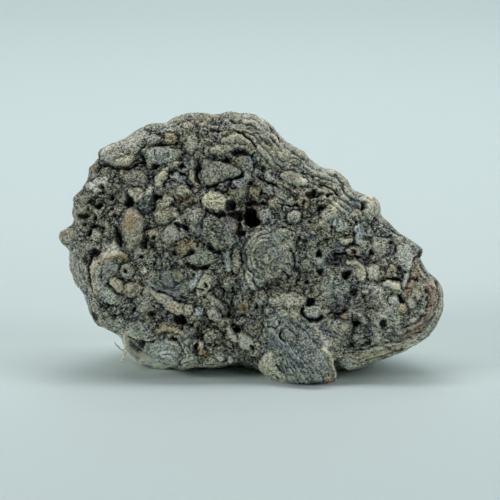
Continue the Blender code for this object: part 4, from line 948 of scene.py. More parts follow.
def scatter(cell, seed):
    """A fixed random number from 0 to 1 for each cell of a lattice, mixed from its place."""
    i, j, k = (cell[:, axis].astype(np.uint32) for axis in range(3))
    start = np.uint32(seed * 974634777 % 2**32)
    h = i * np.uint32(374761393) + j * np.uint32(668265263) + k * np.uint32(1442695041) + start
    h = (h ^ (h >> np.uint32(13))) * np.uint32(1274126177)
    return (h ^ (h >> np.uint32(16))) / 2.0**32


def haze(points, size, seed):
    """Smooth noise from -1 to 1 with bumps about this size."""
    place = points / size
    cell = np.floor(place).astype(np.int64)
    t = place - cell
    t = t * t * (3 - 2 * t)
    total = np.zeros(len(points))
    for step in np.ndindex(2, 2, 2):
        weight = np.prod(np.where(step, t, 1 - t), axis=1)
        total += weight * scatter(cell + np.array(step), seed)
    return 2 * total - 1


def wander(points, bends, seed):
    """Noises of several sizes, one for each bend's size and amount."""
    return [amount * haze(points, size, seed + n) for n, (size, amount) in enumerate(bends)]


def packed(points, size, seed):
    """Lumps packed side by side: squared distance to the own middle, gap to the next lump's, a
    number from 0 to 1 that tells the lumps apart, and the way from the middle."""
    place = points / size
    cell = np.floor(place).astype(np.int64)
    first = np.full(len(points), np.inf)
    second = first.copy()
    label = np.zeros(len(points))
    way = np.zeros((len(points), 3))
    for step in np.ndindex(3, 3, 3):
        near = cell + np.array(step) - 1
        centre = near + np.stack([scatter(near, seed + n) for n in range(3)], 1)
        apart = ((place - centre) ** 2).sum(1)
        closer = apart < first
        second = np.where(closer, first, np.minimum(second, apart))
        label = np.where(closer, scatter(near, seed + 3), label)
        way = np.where(closer[:, None], place - centre, way)
        first = np.where(closer, apart, first)
    return first, np.sqrt(second) - np.sqrt(first), label, way


def blurred(grid, reach):
    """A square grid's values averaged over this many cells each way, twice."""
    for _ in range(2):
        for axis in (0, 1):
            margins = [(reach + 1, reach) if a == axis else (0, 0) for a in (0, 1)]
            padded = np.pad(grid, margins, "edge")
            total = np.cumsum(padded, axis)
            ahead = np.take(total, range(2 * reach + 1, total.shape[axis]), axis)
            behind = np.take(total, range(0, total.shape[axis] - 2 * reach - 1), axis)
            grid = (ahead - behind) / (2 * reach + 1)
    return grid


def step_up(low, high, values):
    """0 below low, 1 above high and smooth between them."""
    t = np.clip((values - low) / (high - low), 0, 1)
    return t * t * (3 - 2 * t)


def degrees_off(angle, start, stop):
    """Degrees from the middle between two directions, -180 to 180."""
    return (angle - (start + stop) / 2 + 180) % 360 - 180


def sector(angle, start, stop, fade):
    """1 between two directions in degrees, fading to 0 at both. A whole turn has no ends."""
    half = (stop - start) / 2
    if half >= 180:
        return 1.0
    return 1 - step_up(half - fade, half, np.abs(degrees_off(angle, start, stop)))


def stripes(phase, seed):
    """For stripes one unit wide: a random number from 0 to 1 for each, the way across it, and a
    rounded height, 1 at its middle."""
    number = np.floor(phase)
    own = scatter(np.stack([number, number * 0, number * 0], 1).astype(np.int64), seed)
    across = phase - number
    return own, across, 1 - (2 * across - 1) ** 2


# How strongly the things on the surface tell. The widths between packed lumps are shares of a
# lump's size, and the others are millimetres.
LUMP_CALM, BLOCK_CALM, GAP_CALM = 0.8, 0.85, 0.9  # how far calm places quieten each of them
# The last of these widths is that of the painted shade along the gaps between lumps.
CREASE_WIDTH, SEAM_WIDTH, GAP_SHADE_WIDTH = 0.16, 0.12, 0.11
# How deep seams are dented, and how dark the seam round a lobe is painted: painted shade.
SEAM_DEPTH, SEAM_SHADE = 0.3, 0.85
LUMP_RING_RISE, LUMP_RING_TONE = 0.05, 0.07
LOBE_RING_RISE, LOBE_RING_TONE = 0.09, 0.13
KNOB_RING_RISE, KNOB_RING_TONE = 0.08, 0.10
LOBE_SEAM_WIDTH, LOBE_CALM = 0.16, 0.30
HIGH_LOBE = 0.45  # a lobe that rises more than this evens out what it covers, a lower one less
HIGH_EVENS, LOW_EVENS = 0.7, 0.2
MOAT_AT, MOAT_WIDTH = 1.12, 0.16  # in half widths of the knob that it lies round
RIM_AT, RIM_WIDTH, RIM_RISE = 1.7, 0.35, 0.22  # likewise for the rim of a hole
GROOVE_WIDTH = 0.14  # between two bands, as a share of their spacing
LABELS = 4096  # how finely packed things are told apart


class Surface:
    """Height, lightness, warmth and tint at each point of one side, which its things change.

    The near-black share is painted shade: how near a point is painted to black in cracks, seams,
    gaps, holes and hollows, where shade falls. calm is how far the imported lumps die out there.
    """

    def __init__(self, plain):
        self.plain = plain
        self.u = plain[:, 0] + sum(wander(plain, WAVER, WAVER_SEED))
        self.v = plain[:, 1] + sum(wander(plain, WAVER, WAVER_SEED + len(WAVER)))
        self.rough_u = sum(wander(plain, RAGGED, RAGGED_SEED), self.u)
        self.rough_v = sum(wander(plain, RAGGED, RAGGED_SEED + len(RAGGED)), self.v)
        self.height, self.tone, self.warm = np.zeros((3, len(plain)))
        self.pit, self.calm, self.tinted = np.zeros((3, len(plain)))
        self.tint = np.tile(TINTS["grey"], (len(plain), 1))

    def paint(self, share, tint, amount):
        """Lays a tint over those already there, weighed by how strong they are."""
        share = np.clip(share * amount, 0, 1)
        newest = share / np.maximum(self.tinted + share, 1e-6)
        self.tint += (np.array(TINTS[tint]) - self.tint) * newest[:, None]
        self.tinted = 1 - (1 - self.tinted) * (1 - share)

    def paint_shade(self, share):
        """Paints shade: brings the points as near to black as this, where they aren't yet."""
        self.pit = np.maximum(self.pit, share)

    def settle(self, share):
        """Makes the points as calm as this, where they aren't yet."""
        self.calm = np.maximum(self.calm, share)

    def around(self, u, v, ru, rv, turn=0.0):
        """Squared distance from an ellipse's centre, 1 on its edge."""
        return ellipse(self.u, self.v, (u, v), (ru, rv), turn)

    def direction(self, u, v):
        """Degrees from the right at which each point is seen from a place."""
        return np.degrees(np.arctan2(self.v - v, self.u - u))

    def stirred(self, amount):
        """The plain places moved about, so that what is laid out on them loses its regular look."""
        moves = [
            haze(self.plain, 14 * amount, seed) + 0.6 * haze(self.plain, 5 * amount, seed + 1)
            for seed in STIR_SEEDS
        ]
        return self.plain + 2.2 * amount * np.stack(moves, 1)

    def lump(self, size, rise, crease, seed):
        """Packed lumps with creases between them, and faint rings in some of the large ones. The
        seams and gaps between lumps are painted darker: painted shade.
        """
        near, gap, label, _ = packed(self.stirred(0.10 * size), size, seed)
        loud = 1 - LUMP_CALM * self.calm
        self.height += rise * loud * (0.5 + label) * crown(near)
        self.height -= crease * loud * bell(gap, CREASE_WIDTH)
        # Painted shade: the seams between lumps are painted towards black.
        seam = step_up(-0.3, 0.5, haze(self.plain, 4.4, seed + 11)) * bell(gap, SEAM_WIDTH)
        self.paint_shade(0.7 * loud * min(1, size / 2) * seam)
        self.height -= SEAM_DEPTH * loud * seam
        if size > 1:
            ringed = np.mod(3 * label, 1) > 0.4
            wave = np.cos(TURN * np.sqrt(near) * size / LUMP_RINGS + 6 * label) * ringed
            self.height += LUMP_RING_RISE * loud * wave
            self.tone += LUMP_RING_TONE * loud * wave
        loud = loud * min(1, size / 1.7)
        # Painted shade: every gap between lumps is painted a little darker.
        self.tone += loud * (0.20 * (label - 0.5) - 0.07 * bell(gap, GAP_SHADE_WIDTH))
        self.warm += loud * 1.1 * (np.mod(7 * label, 1) - 0.5)

    def block(self, size, rise, seed):
        """Blocks with flat, slanted tops and steps between them."""
        _, _, label, way = packed(self.stirred(0.14 * size), size, seed)
        number = np.stack([np.floor(label * LABELS)] * 3, 1).astype(np.int64)
        slant = np.stack([scatter(number, seed + n) - 0.5 for n in (5, 6)], 1)
        loud = 1 - BLOCK_CALM * self.calm
        self.height += loud * rise * (1.4 * (label - 0.5) + 2.6 * (way[:, :2] * slant).sum(1))
        self.tone += loud * min(1, size / 2) * 0.16 * (label - 0.5)
        self.warm += loud * 0.5 * (np.mod(5 * label, 1) - 0.5)

    def gaps(self, bend, width, depth, seed):
        """Thin winding gaps, open only here and there, and painted dark inside: painted shade."""
        place = self.stirred(0.12 * bend)
        line = haze(place, bend, seed) + 0.3 * haze(place, 0.4 * bend, seed + 1)
        open_share = step_up(0.15, 0.7, haze(self.plain, 2.2 * bend, seed + 2))
        open_share = open_share * (1 - GAP_CALM * self.calm)
        share = bell(line, width * (1.3 + open_share)) * open_share
        self.height -= depth * share
        self.paint_shade(0.65 * share)

    def druse(self, u, v, ru, rv, turn, size, rise, seed):
        """A patch of small crystals, each with its own tone, and gaps between them painted dark:
        painted shade.
        """
        q = self.around(u, v, ru, rv, turn) - 0.3 * haze(self.plain, 1.8, seed + 4)
        share = step_up(0, 0.4, 1.1 - q)
        near, gap, label, _ = packed(self.stirred(0.08 * size), size, seed)
        seam = share * bell(gap, 0.2) * step_up(-0.5, 0.4, haze(self.plain, 1.4, seed + 5))
        self.height += share * rise * (0.5 + label) * crown(near, 0.6) - 0.4 * seam
        self.paint_shade(0.7 * seam)
        self.tone += share * 0.34 * (label - 0.5)
        self.warm += share * 1.2 * (np.mod(7 * label, 1) - 0.5)

    def facet(self, rise, along, up, tint, amount, *corners):
        """A flat place with a straight-sided outline."""
        share = step_up(-0.25, 0.2, depth_inside(self.u, self.v, corners))
        middle = np.mean(corners, axis=0)
        level = rise + along * (self.u - middle[0]) + up * (self.v - middle[1])
        self.height += (level - self.height) * share
        self.settle(0.5 * share)
        self.tone *= 1 - 0.6 * share
        self.paint(share, tint, amount)

    def near_outline(self, corners):
        """The points near a closed outline and how deep inside it each of them is."""
        corners = rounded(corners)
        low, high = np.min(corners, 0) - FORM_MARGIN, np.max(corners, 0) + FORM_MARGIN
        u, v = self.rough_u, self.rough_v
        near = np.flatnonzero((u > low[0]) & (u < high[0]) & (v > low[1]) & (v < high[1]))
        deep = depth_inside(u[near], v[near], corners) + 0.08
        return near, deep + 0.16 * haze(self.plain[near], 0.5, FORM_SEED + 4)

    def form(self, rise, *rest):
        """A lobe, or a hollow where the rise is negative."""
        (self.lobe if rise > 0 else self.hollow)(rise, *rest)

    def hollow(self, rise, soft, amount, *corners):
        """A dent with this outline, painted dark inside: painted shade."""
        near, deep = self.near_outline(corners)
        deep = deep + 0.30 * haze(self.plain[near], 1.1, FORM_SEED + 6)
        self.height[near] += rise * shoulder(deep, soft)
        dark = amount * step_up(-FORM_EDGE, FORM_EDGE, deep)
        self.pit[near] = np.maximum(self.pit[near], dark)

    def lobe(self, rise, soft, light, rings, tint, amount, *corners):
        """A lump with a seam round it painted dark, which is painted shade. It evens out what it
        covers.
        """
        near, deep = self.near_outline(corners)
        place = self.plain[near]
        share = step_up(-FORM_EDGE, FORM_EDGE, deep)
        body = rise * shoulder(deep, soft)
        self.height[near] += body
        broken = np.clip(0.7 + 0.7 * haze(place, 1.2, FORM_SEED), 0, 1)
        seam = bell(deep + FORM_EDGE, LOBE_SEAM_WIDTH) * broken
        self.calm[near] = np.maximum(self.calm[near], LOBE_CALM * share)
        evens = HIGH_EVENS if rise > HIGH_LOBE else LOW_EVENS
        self.height[near] -= evens * share * (self.height[near] - body) + SEAM_DEPTH * seam
        self.pit[near] = np.maximum(self.pit[near] * (1 - 0.7 * share), SEAM_SHADE * seam)
        self.tone[near] += share * (light - 0.6 * self.tone[near])
        if rings:
            wave = share * np.cos(TURN * deep / rings + 0.9 * haze(place, 1.1, FORM_SEED + 2))
            self.height[near] += LOBE_RING_RISE * wave
            self.tone[near] += LOBE_RING_TONE * wave
        whole = np.zeros(len(self.u))
        whole[near] = share
        self.paint(whole, tint, amount)

    def knob(self, u, v, ru, rv, turn, rise, rings, tint, amount):
        """A ball that stands out of a shallow moat, with rings or without. The moat is painted
        dark, which is painted shade, and the ball a little lighter towards its middle, which is
        painted light.
        """
        q = self.around(u, v, ru, rv, turn)
        bulge = np.sqrt(np.clip(1 - q, 0, 1))
        moat = bell(np.sqrt(q) - MOAT_AT, MOAT_WIDTH)
        moat *= 0.5 + 0.5 * haze(self.plain, 1.3, int(abs(u * 3)))
        on = q < 1
        self.height += 0.8 * rise * bulge - 0.35 * rise * moat
        self.paint_shade(0.45 * moat)
        self.tone = np.where(on, self.tone * 0.6 + 0.04 * bulge, self.tone)
        if rings:
            bent = 0.8 * haze(self.plain, 0.8, KNOB_SEED)
            wave = np.cos(TURN * rings * np.sqrt(np.minimum(q, 1)) + bent)
            self.height += np.where(on, KNOB_RING_RISE * wave, 0)
            self.tone += np.where(on, KNOB_RING_TONE * wave, 0)
        self.paint(step_up(0, 0.5, 1 - q), tint, 0.65 * amount)

    def bands(self, distance, spacing, share, relief, tint, amount, seed):
        """Parallel ridges across a distance, each with its own height and tone. The grooves between
        them are painted dark: painted shade.
        """
        phase = distance / spacing + 0.42 * haze(self.plain, 2.4, seed)
        phase = phase + 0.16 * haze(self.plain, 0.9, seed + 1)
        own, t, ridge = stripes(phase, seed + 2)
        groove = bell(np.minimum(t, 1 - t), GROOVE_WIDTH)
        broken = step_up(-0.75, 0.1, haze(self.plain, 1.5, seed + 3))
        share = share * (0.35 + 0.65 * broken)
        self.height += share * relief * (ridge * (0.5 + own) - 0.75)
        self.paint_shade(share * groove * 0.55)
        self.tone += share * (0.24 * (own - 0.5) + 0.16 * (ridge - 0.6))
        self.paint(share * (own > 0.45), tint, amount)

    def scroll(self, u, v, ru, rv, turn, first, last, spacing, relief, start, stop, tint, amount):
        """Rings about a place, between two radii and two directions."""
        q = np.sqrt(self.around(u, v, ru, rv, turn))
        share = step_up(first - 0.06, first + 0.06, q) * (1 - step_up(last - 0.08, last + 0.04, q))
        share = share * sector(self.direction(u, v), start, stop, 14)
        self.settle(0.7 * share * min(1, relief / 0.4))
        seed = int(7 * abs(u) + 13 * abs(v))
        self.bands(q * (ru + rv) / 2, spacing, share, relief, tint, amount, seed)

    def fan(self, u, v, inner, outer, start, stop, fibres, relief):
        """Fibres that spread from a place, between two reaches and two directions."""
        reach = np.hypot(self.u - u, self.v - v)
        angle = self.direction(u, v)
        share = step_up(inner, inner + 0.6, reach) * (1 - step_up(outer - 1.2, outer, reach))
        share = share * sector(angle, start, stop, 8)
        phase = (degrees_off(angle, start, stop) / (stop - start) + 0.5) * fibres
        phase = phase + 0.35 * haze(self.plain, 1.6, int(abs(u * 17)))
        own, _, ridge = stripes(phase, int(abs(v * 11)))
        self.height += share * relief * (ridge * (0.5 + own) - 0.7)
        self.tone += share * (0.34 * (own - 0.5) + 0.16 * (ridge - 0.6))

    def ridge(self, width, rise, tint, amount, *points):
        """A raised line."""
        share = bell(line_distance(self.rough_u, self.rough_v, points), width)
        self.height += rise * share
        self.tone += 0.12 * share
        self.paint(share, tint, amount)

    def crack(self, width, depth, *points):
        """A groove of uneven width, painted dark: painted shade."""
        apart = line_distance(self.rough_u, self.rough_v, points)
        seed = int(abs(points[0][0] * 31))
        uneven = 0.62 + 0.45 * haze(self.plain, 1.3, seed) + 0.3 * haze(self.plain, 0.6, seed + 1)
        share = bell(apart, np.maximum(width * uneven, 0.12))
        self.height -= depth * share
        self.paint_shade(share)

    def hole(self, u, v, ru, rv, turn, depth):
        """A pit with a ragged edge and a low rim round it, painted dark inside: painted shade."""
        seed = int(abs(u * 13 + v * 7))
        ragged = 1.1 + 0.7 * haze(self.plain, 1.2, seed) + 0.45 * haze(self.plain, 0.6, seed + 1)
        q = ellipse(self.rough_u, self.rough_v, (u, v), (ru, rv), turn) * np.maximum(ragged, 0.2)
        self.height -= depth * np.exp(-(q**1.5))
        self.height += RIM_RISE * bell(np.sqrt(q) - RIM_AT, RIM_WIDTH)
        self.paint_shade(bell(q, 1.1))

    def patch(self, u, v, ru, rv, turn, tint, amount):
        """A tint with a ragged edge."""
        ragged = 0.25 * haze(self.plain, 0.8, int(abs(u * 5 + v * 3)))
        self.paint(step_up(0, 0.6, 1.15 - self.around(u, v, ru, rv, turn) + ragged), tint, amount)


def edge_distance(side):
    """How far each point lies inside the evened outline."""
    angle = np.linspace(0, TURN, EDGE_STEPS + 1)
    radius = plain_radius(angle, EDGE_SPREAD)
    ring = list(zip(HUB[0] + radius * np.cos(angle), HUB[1] + radius * np.sin(angle)))
    return line_distance(side.u, side.v, ring)


def dress_face(plain):
    """The face: everything on it, largest things first."""
    face = Surface(plain)
    for *place, share in CALM:
        face.settle(share * step_up(0, 0.5, 1.2 - face.around(*place)))
    edge = edge_distance(face)
    angle = np.degrees(np.arctan2(plain[:, 1] - HUB[1], plain[:, 0] - HUB[0]))
    banded = []
    for start, stop, depth, spacing, relief, tint, amount, seed in EDGE_BANDS:
        share = sector(angle, start, stop, 8) * (1 - step_up(depth - 0.8, depth, edge))
        face.settle(1.6 * relief * share)
        banded.append((edge, spacing, share, relief, tint, amount, seed))
    for lay, table in (
        (face.lump, FACE_LUMPS), (face.block, FACE_BLOCKS), (face.gaps, FACE_GAPS),
        (face.facet, FACETS), (face.bands, banded), (face.form, FORMS),
        (face.scroll, SCROLLS), (face.fan, FANS), (face.knob, KNOBS),
        (face.druse, DRUSES), (face.ridge, RIDGES), (face.patch, PATCHES),
        (face.crack, CRACKS), (face.hole, HOLES),
    ):
        for row in table:
            lay(*row)
    for *place, tone, warm in SHADES:
        share = np.exp(-face.around(*place))
        face.tone += tone * share
        face.warm += warm * share
    for u, v, ru, rv, turn, mound in MOUNDS:
        face.height += mound * cap(face.u, face.v, (u, v), (ru, rv), turn)
    grit = 1 - 0.5 * face.calm
    face.height += grit * (
        0.07 * haze(plain, 0.8, GRIT_SEED) + 0.09 * haze(plain, 0.45, GRIT_SEED + 1)
    )
    grit_tone = haze(plain, 0.36, GRIT_SEED + 4)
    face.height += grit * 0.06 * grit_tone
    face.tone += (
        0.06 * haze(plain, 0.6, GRIT_SEED + 2)
        + 0.05 * haze(plain, 5.0, GRIT_SEED + 3)
        + 0.06 * grit * grit_tone
    )
    return face


def dress_back(plain, up):
    """The rind: rounded lumps, dimples, and ledges stacked round the side, and a cave low on the
    left, dented, painted brown and, in its middle, painted near black: painted shade.
    """
    back = Surface(plain)
    spacing, step = SIDE_LEDGES
    (size, rise, _, seed), *finer = BACK_CRUST
    layer = plain[:, 2] / spacing + 0.4 * crown(packed(plain, 2 * size, seed + 3)[0])
    back.height += rise * crown(packed(plain, size, seed)[0])
    back.height += step * (1 - up) * (0.5 - np.mod(layer, 1.0))
    for *place, reach, lump in BACK_LUMPS:
        back.height += lump * np.clip(1 - ball(plain, place, reach), 0, 1) ** 2
    for crust in finer:
        back.lump(*crust)
    back.height += 0.08 * haze(plain, 0.9, RIND_SEED)
    back.tone += 0.12 * haze(plain, 4.0, RIND_SEED + 1)
    pale = step_up(0.1, 0.45, up + 0.15 * haze(plain, 5.0, RIND_SEED + 2))
    back.paint(pale, "pale", 0.75)
    back.paint(step_up(0.2, 0.7, haze(plain, 6.0, RIND_SEED + 3)), "tan", 0.35)
    smooth = step_up(0, 0.3, 1 - ball(plain, *SMOOTH_HEEL))
    back.paint(smooth, "rind", 0.95)
    back.calm = np.maximum(0.4, 1.4 * smooth)
    (u, v), (ru, rv), behind = CAVE
    cave = np.hypot((back.rough_u - u) / ru, (back.rough_v - v) / rv)
    cave = cave + 0.5 * (plain[:, 2] < behind)
    # Painted shade: the cave's middle is painted near black, and round it the stone is painted
    # brown.
    back.height -= 1.2 * bell(cave, 1)
    back.paint(step_up(-2.6, -1.2, -cave), "brown", 0.8)
    back.paint_shade(step_up(-1.5, -0.9, -cave))
    return back


def half_lens(cells, front):
    """One side's corners before relief, the way out of the stone, and shares of reach and rise."""
    ring, angle = (values.ravel() for values in disk_grid(cells))
    square, rise = (FACE_SQUARE, FACE_RISE) if front else (BACK_SQUARE, BACK_DEPTH)
    across, up = lens_profile(ring, square, rise)
    radius = outline_radius(angle)
    if not front:
        plain_share = np.clip(up / PLAIN_BY, 0, 1)
        radius = radius + (plain_radius(angle) - radius) * plain_share
        spread = np.clip(np.cos(angle - HEEL_TOWARDS), 0, 1) ** 2
        radius = radius * (1 + HEEL_SPREAD * spread * up**3)
        off = (angle - RIND_TOWARDS + math.pi) % TURN - math.pi
        swell = RIND_SWELL * np.clip(1 - (off / RIND_HALF) ** 2, 0, 1)
        radius = radius + swell * np.clip(up / SWELL_BY, 0, 1)
    u = HUB[0] + across * radius * np.cos(angle)
    v = HUB[1] + across * radius * np.sin(angle)
    deep = BACK_DEPTH + HEEL_DEPTH * dome(u, v, HEEL[:2], HEEL[2:])
    mid = FOOT_FORWARD * dome(u, v, FOOT[:2], FOOT[2:])
    w = mid + up * (FACE_RISE if front else -deep)
    side = across ** (square - 1) / radius
    ahead = up ** (square - 1) / (FACE_RISE if front else deep)
    out = np.stack([side * np.cos(angle), side * np.sin(angle), ahead if front else -ahead], 1)
    out /= np.hypot(side, ahead)[:, None]
    return np.stack([u, v, w], 1), out, across, up


def hollowness(height, cells, reach, depth):
    """How far each point lies below the mean of what is round it, 0 to 1, and how far above."""
    grid = height.reshape(cells + 1, cells + 1)
    apart = ((blurred(grid, reach) - grid) / depth).ravel()
    return np.clip(apart, 0, 1), np.clip(-apart, 0, 1)


def stood_up(points):
    """Face millimetres turned to upright millimetres: the face leans back and looks towards -Y."""
    u, v, w = points.T
    c, s = math.cos(LEAN), math.sin(LEAN)
    return np.stack([u, v * s - w * c, v * c + w * s], 1)


def side_of_stone(cells, front):
    """One side's points in upright millimetres and what its surface is like."""
    plain, out, across, up = half_lens(cells, front)
    side = dress_face(plain) if front else dress_back(plain, up)
    share = EDGE_SHARE + (1 - EDGE_SHARE) * np.clip((1 - across) / EDGE_FADE, 0, 1)
    reaches = FACE_REACHES if front else BACK_REACHES
    (low_wide, high_wide), (low_fine, high_fine) = (
        hollowness(side.height, cells, reach, depth) for reach, depth in zip(reaches, HOLLOW_DEPTHS)
    )
    # Painted shade in the hollows, which are painted darker, cooler and towards black, and painted
    # light on the crests, which are painted lighter and warmer.
    side.pit = np.clip(0.9 * side.pit + 0.30 * low_wide**2, 0, 1)
    side.tone += 0.14 * high_wide - 0.10 * low_wide + 0.08 * high_fine - 0.04 * low_fine
    side.warm += 0.7 * high_wide - 0.9 * low_wide + 0.3 * high_fine
    return stood_up(plain + out * (side.height * share)[:, None]), side


def stone_faces():
    """Quads of both sides. The back is half as dense, so its rim takes in the face's corners."""
    wide = FACE_CELLS + 1
    number = np.arange(wide * wide).reshape(wide, wide)
    front = np.stack([number[:-1, :-1], number[:-1, 1:], number[1:, 1:], number[1:, :-1]], -1)
    narrow = BACK_CELLS + 1
    back = np.full((narrow, narrow), -1)
    back[1:-1, 1:-1] = number.size + np.arange((narrow - 2) ** 2).reshape(narrow - 2, narrow - 2)
    rim = back < 0
    back[rim] = number[::2, ::2][rim]
    faces = front.reshape(-1, 4).tolist()
    for row in range(BACK_CELLS):
        for column in range(BACK_CELLS):
            loop = [(row, column), (row + 1, column), (row + 1, column + 1), (row, column + 1)]
            ring = []
            for (r0, c0), (r1, c1) in zip(loop, loop[1:] + loop[:1]):
                ring.append(int(back[r0, c0]))
                along_side = c0 == c1 and c0 in (0, BACK_CELLS)
                if along_side or (r0 == r1 and r0 in (0, BACK_CELLS)):
                    ring.append(int(number[r0 + r1, c0 + c1]))
            faces.append(ring)
    return faces


def joined(front_values, back_values):
    """The face's values, then those of the back's corners that lie inside its rim."""
    grid = back_values.reshape((BACK_CELLS + 1, BACK_CELLS + 1) + back_values.shape[1:])
    inner = grid[1:-1, 1:-1].reshape((-1,) + back_values.shape[1:])
    return np.concatenate([front_values, inner])


def add_attribute(mesh, name, kind, values):
    """A value or a colour for each point of a mesh, for its material to read."""
    layer = mesh.attributes.new(name, kind, "POINT")
    layer.data.foreach_set("color" if kind == "FLOAT_COLOR" else "value", values.ravel())


class Placing:
    """Upright millimetres to metres of the frame: the stone's box lands on the solid's."""

    def __init__(self, points):
        ground = stood_up(np.array([[FOOT[0], FOOT_EDGE, FOOT_FORWARD]]))[0, 2] + WORN
        self.low = points.min(0)
        self.low[2] = ground
        self.span = points.max(0) - self.low
        self.box_low = np.array(cad_low)
        self.box_span = np.array(cad_high) - self.box_low

    def __call__(self, points):
        placed = self.box_low + (points - self.low) / self.span * self.box_span
        placed[:, 2] = np.maximum(placed[:, 2], self.box_low[2])
        return placed


# A dry rootlet under the rim and its twig: the place on the face that they hang from, then x, y
# and z from there and the radius along each, in millimetres.
ROOTLET_TOP = (-24.5, 10.3)
ROOTLETS = (
    ((0.1, 0.5, 0.5, 0.18), (0.1, -0.1, -0.8, 0.24), (0.2, -0.3, -2.1, 0.30),
     (0.3, -0.3, -3.5, 0.40), (0.0, -0.3, -4.6, 0.36), (-0.5, -0.2, -5.6, 0.26),
     (-0.9, 0.0, -6.3, 0.10)),
    ((0.2, -0.3, -3.9, 0.26), (-0.8, -0.3, -3.2, 0.26), (-1.6, -0.2, -2.4, 0.20),
     (-2.0, -0.1, -1.8, 0.08)),
)
ROOTLET_SIDES = 6


def rootlets(top, first):
    """Points and faces of the rootlets: closed tubes, their points numbered from the first."""
    points, faces = [], []
    sides = ROOTLET_SIDES
    for path in ROOTLETS:
        base = first + len(points)
        for x, y, z, r in path:
            for a in np.arange(sides) * TURN / sides:
                points.append(top + (x + r * math.cos(a), y + r * math.sin(a), z))
        end = first + len(points)
        for n in range(sides * (len(path) - 1)):
            a, b = base + n, base + sides * (n // sides) + (n + 1) % sides
            faces.append((a, a + sides, b + sides, b))
        faces.append(tuple(range(base, base + sides)))
        faces.append(tuple(range(end - 1, end - 1 - sides, -1)))
    return np.array(points), faces


def stone():
    """The dressed stone and its rootlets as one mesh. Gives back how its places are placed."""
    front_points, face = side_of_stone(FACE_CELLS, True)
    back_points, back = side_of_stone(BACK_CELLS, False)
    points = joined(front_points, back_points)
    place = Placing(points)
    from_top = face.plain[:, :2] - ROOTLET_TOP
    hangs_at = np.argmin(np.hypot(from_top[:, 0], from_top[:, 1]))
    root_points, root_faces = rootlets(front_points[hangs_at], len(points))
    corners = place(np.concatenate([points, root_points])).tolist()
    mesh = bpy.data.meshes.new("banded_stone")
    mesh.from_pydata(corners, [], stone_faces() + root_faces)
    mesh.shade_flat()

    def whole(name, root):
        """A value of the surface at every point of the mesh, and the rootlets' own."""
        sides = joined(getattr(face, name), getattr(back, name))
        return np.concatenate([sides, np.array([root] * len(root_points))])

    for name, root in (("tone", 0.0), ("pit", 0.0), ("calm", 1.0), ("warm", 0.3), ("tinted", 0.9)):
        add_attribute(mesh, name, "FLOAT", whole(name, root))
    colours = np.column_stack([whole("tint", TINTS["cream"]), whole("tinted", 0.9)])
    add_attribute(mesh, "tint", "FLOAT_COLOR", colours)
    mesh.materials.append(chalcedony())
    piece = bpy.data.objects.new("banded_stone", mesh)
    bpy.context.scene.collection.objects.link(piece)
    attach(piece, "root")
    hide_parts(NODE)
    return place


class Wire:
    """A shader socket that takes part in sums and products."""

    def __init__(self, tree, socket):
        self.tree = tree
        self.socket = socket

    def __add__(self, other):
        return self.tree.sum("ADD", self, other)

    def __radd__(self, other):
        return self.tree.sum("ADD", other, self)

    def __sub__(self, other):
        return self.tree.sum("SUBTRACT", self, other)

    def __rsub__(self, other):
        return self.tree.sum("SUBTRACT", other, self)

    def __mul__(self, other):
        return self.tree.sum("MULTIPLY", self, other)

    def __rmul__(self, other):
        return self.tree.sum("MULTIPLY", other, self)


def set_stops(elements, stops):
    """Gives a colour ramp its stops: a place from 0 to 1 and a colour each."""
    while len(elements) < len(stops):
        elements.new(0.5)
    for element, (at, colour) in zip(elements, stops):
        element.position = at
        element.color = colour + (1.0,)


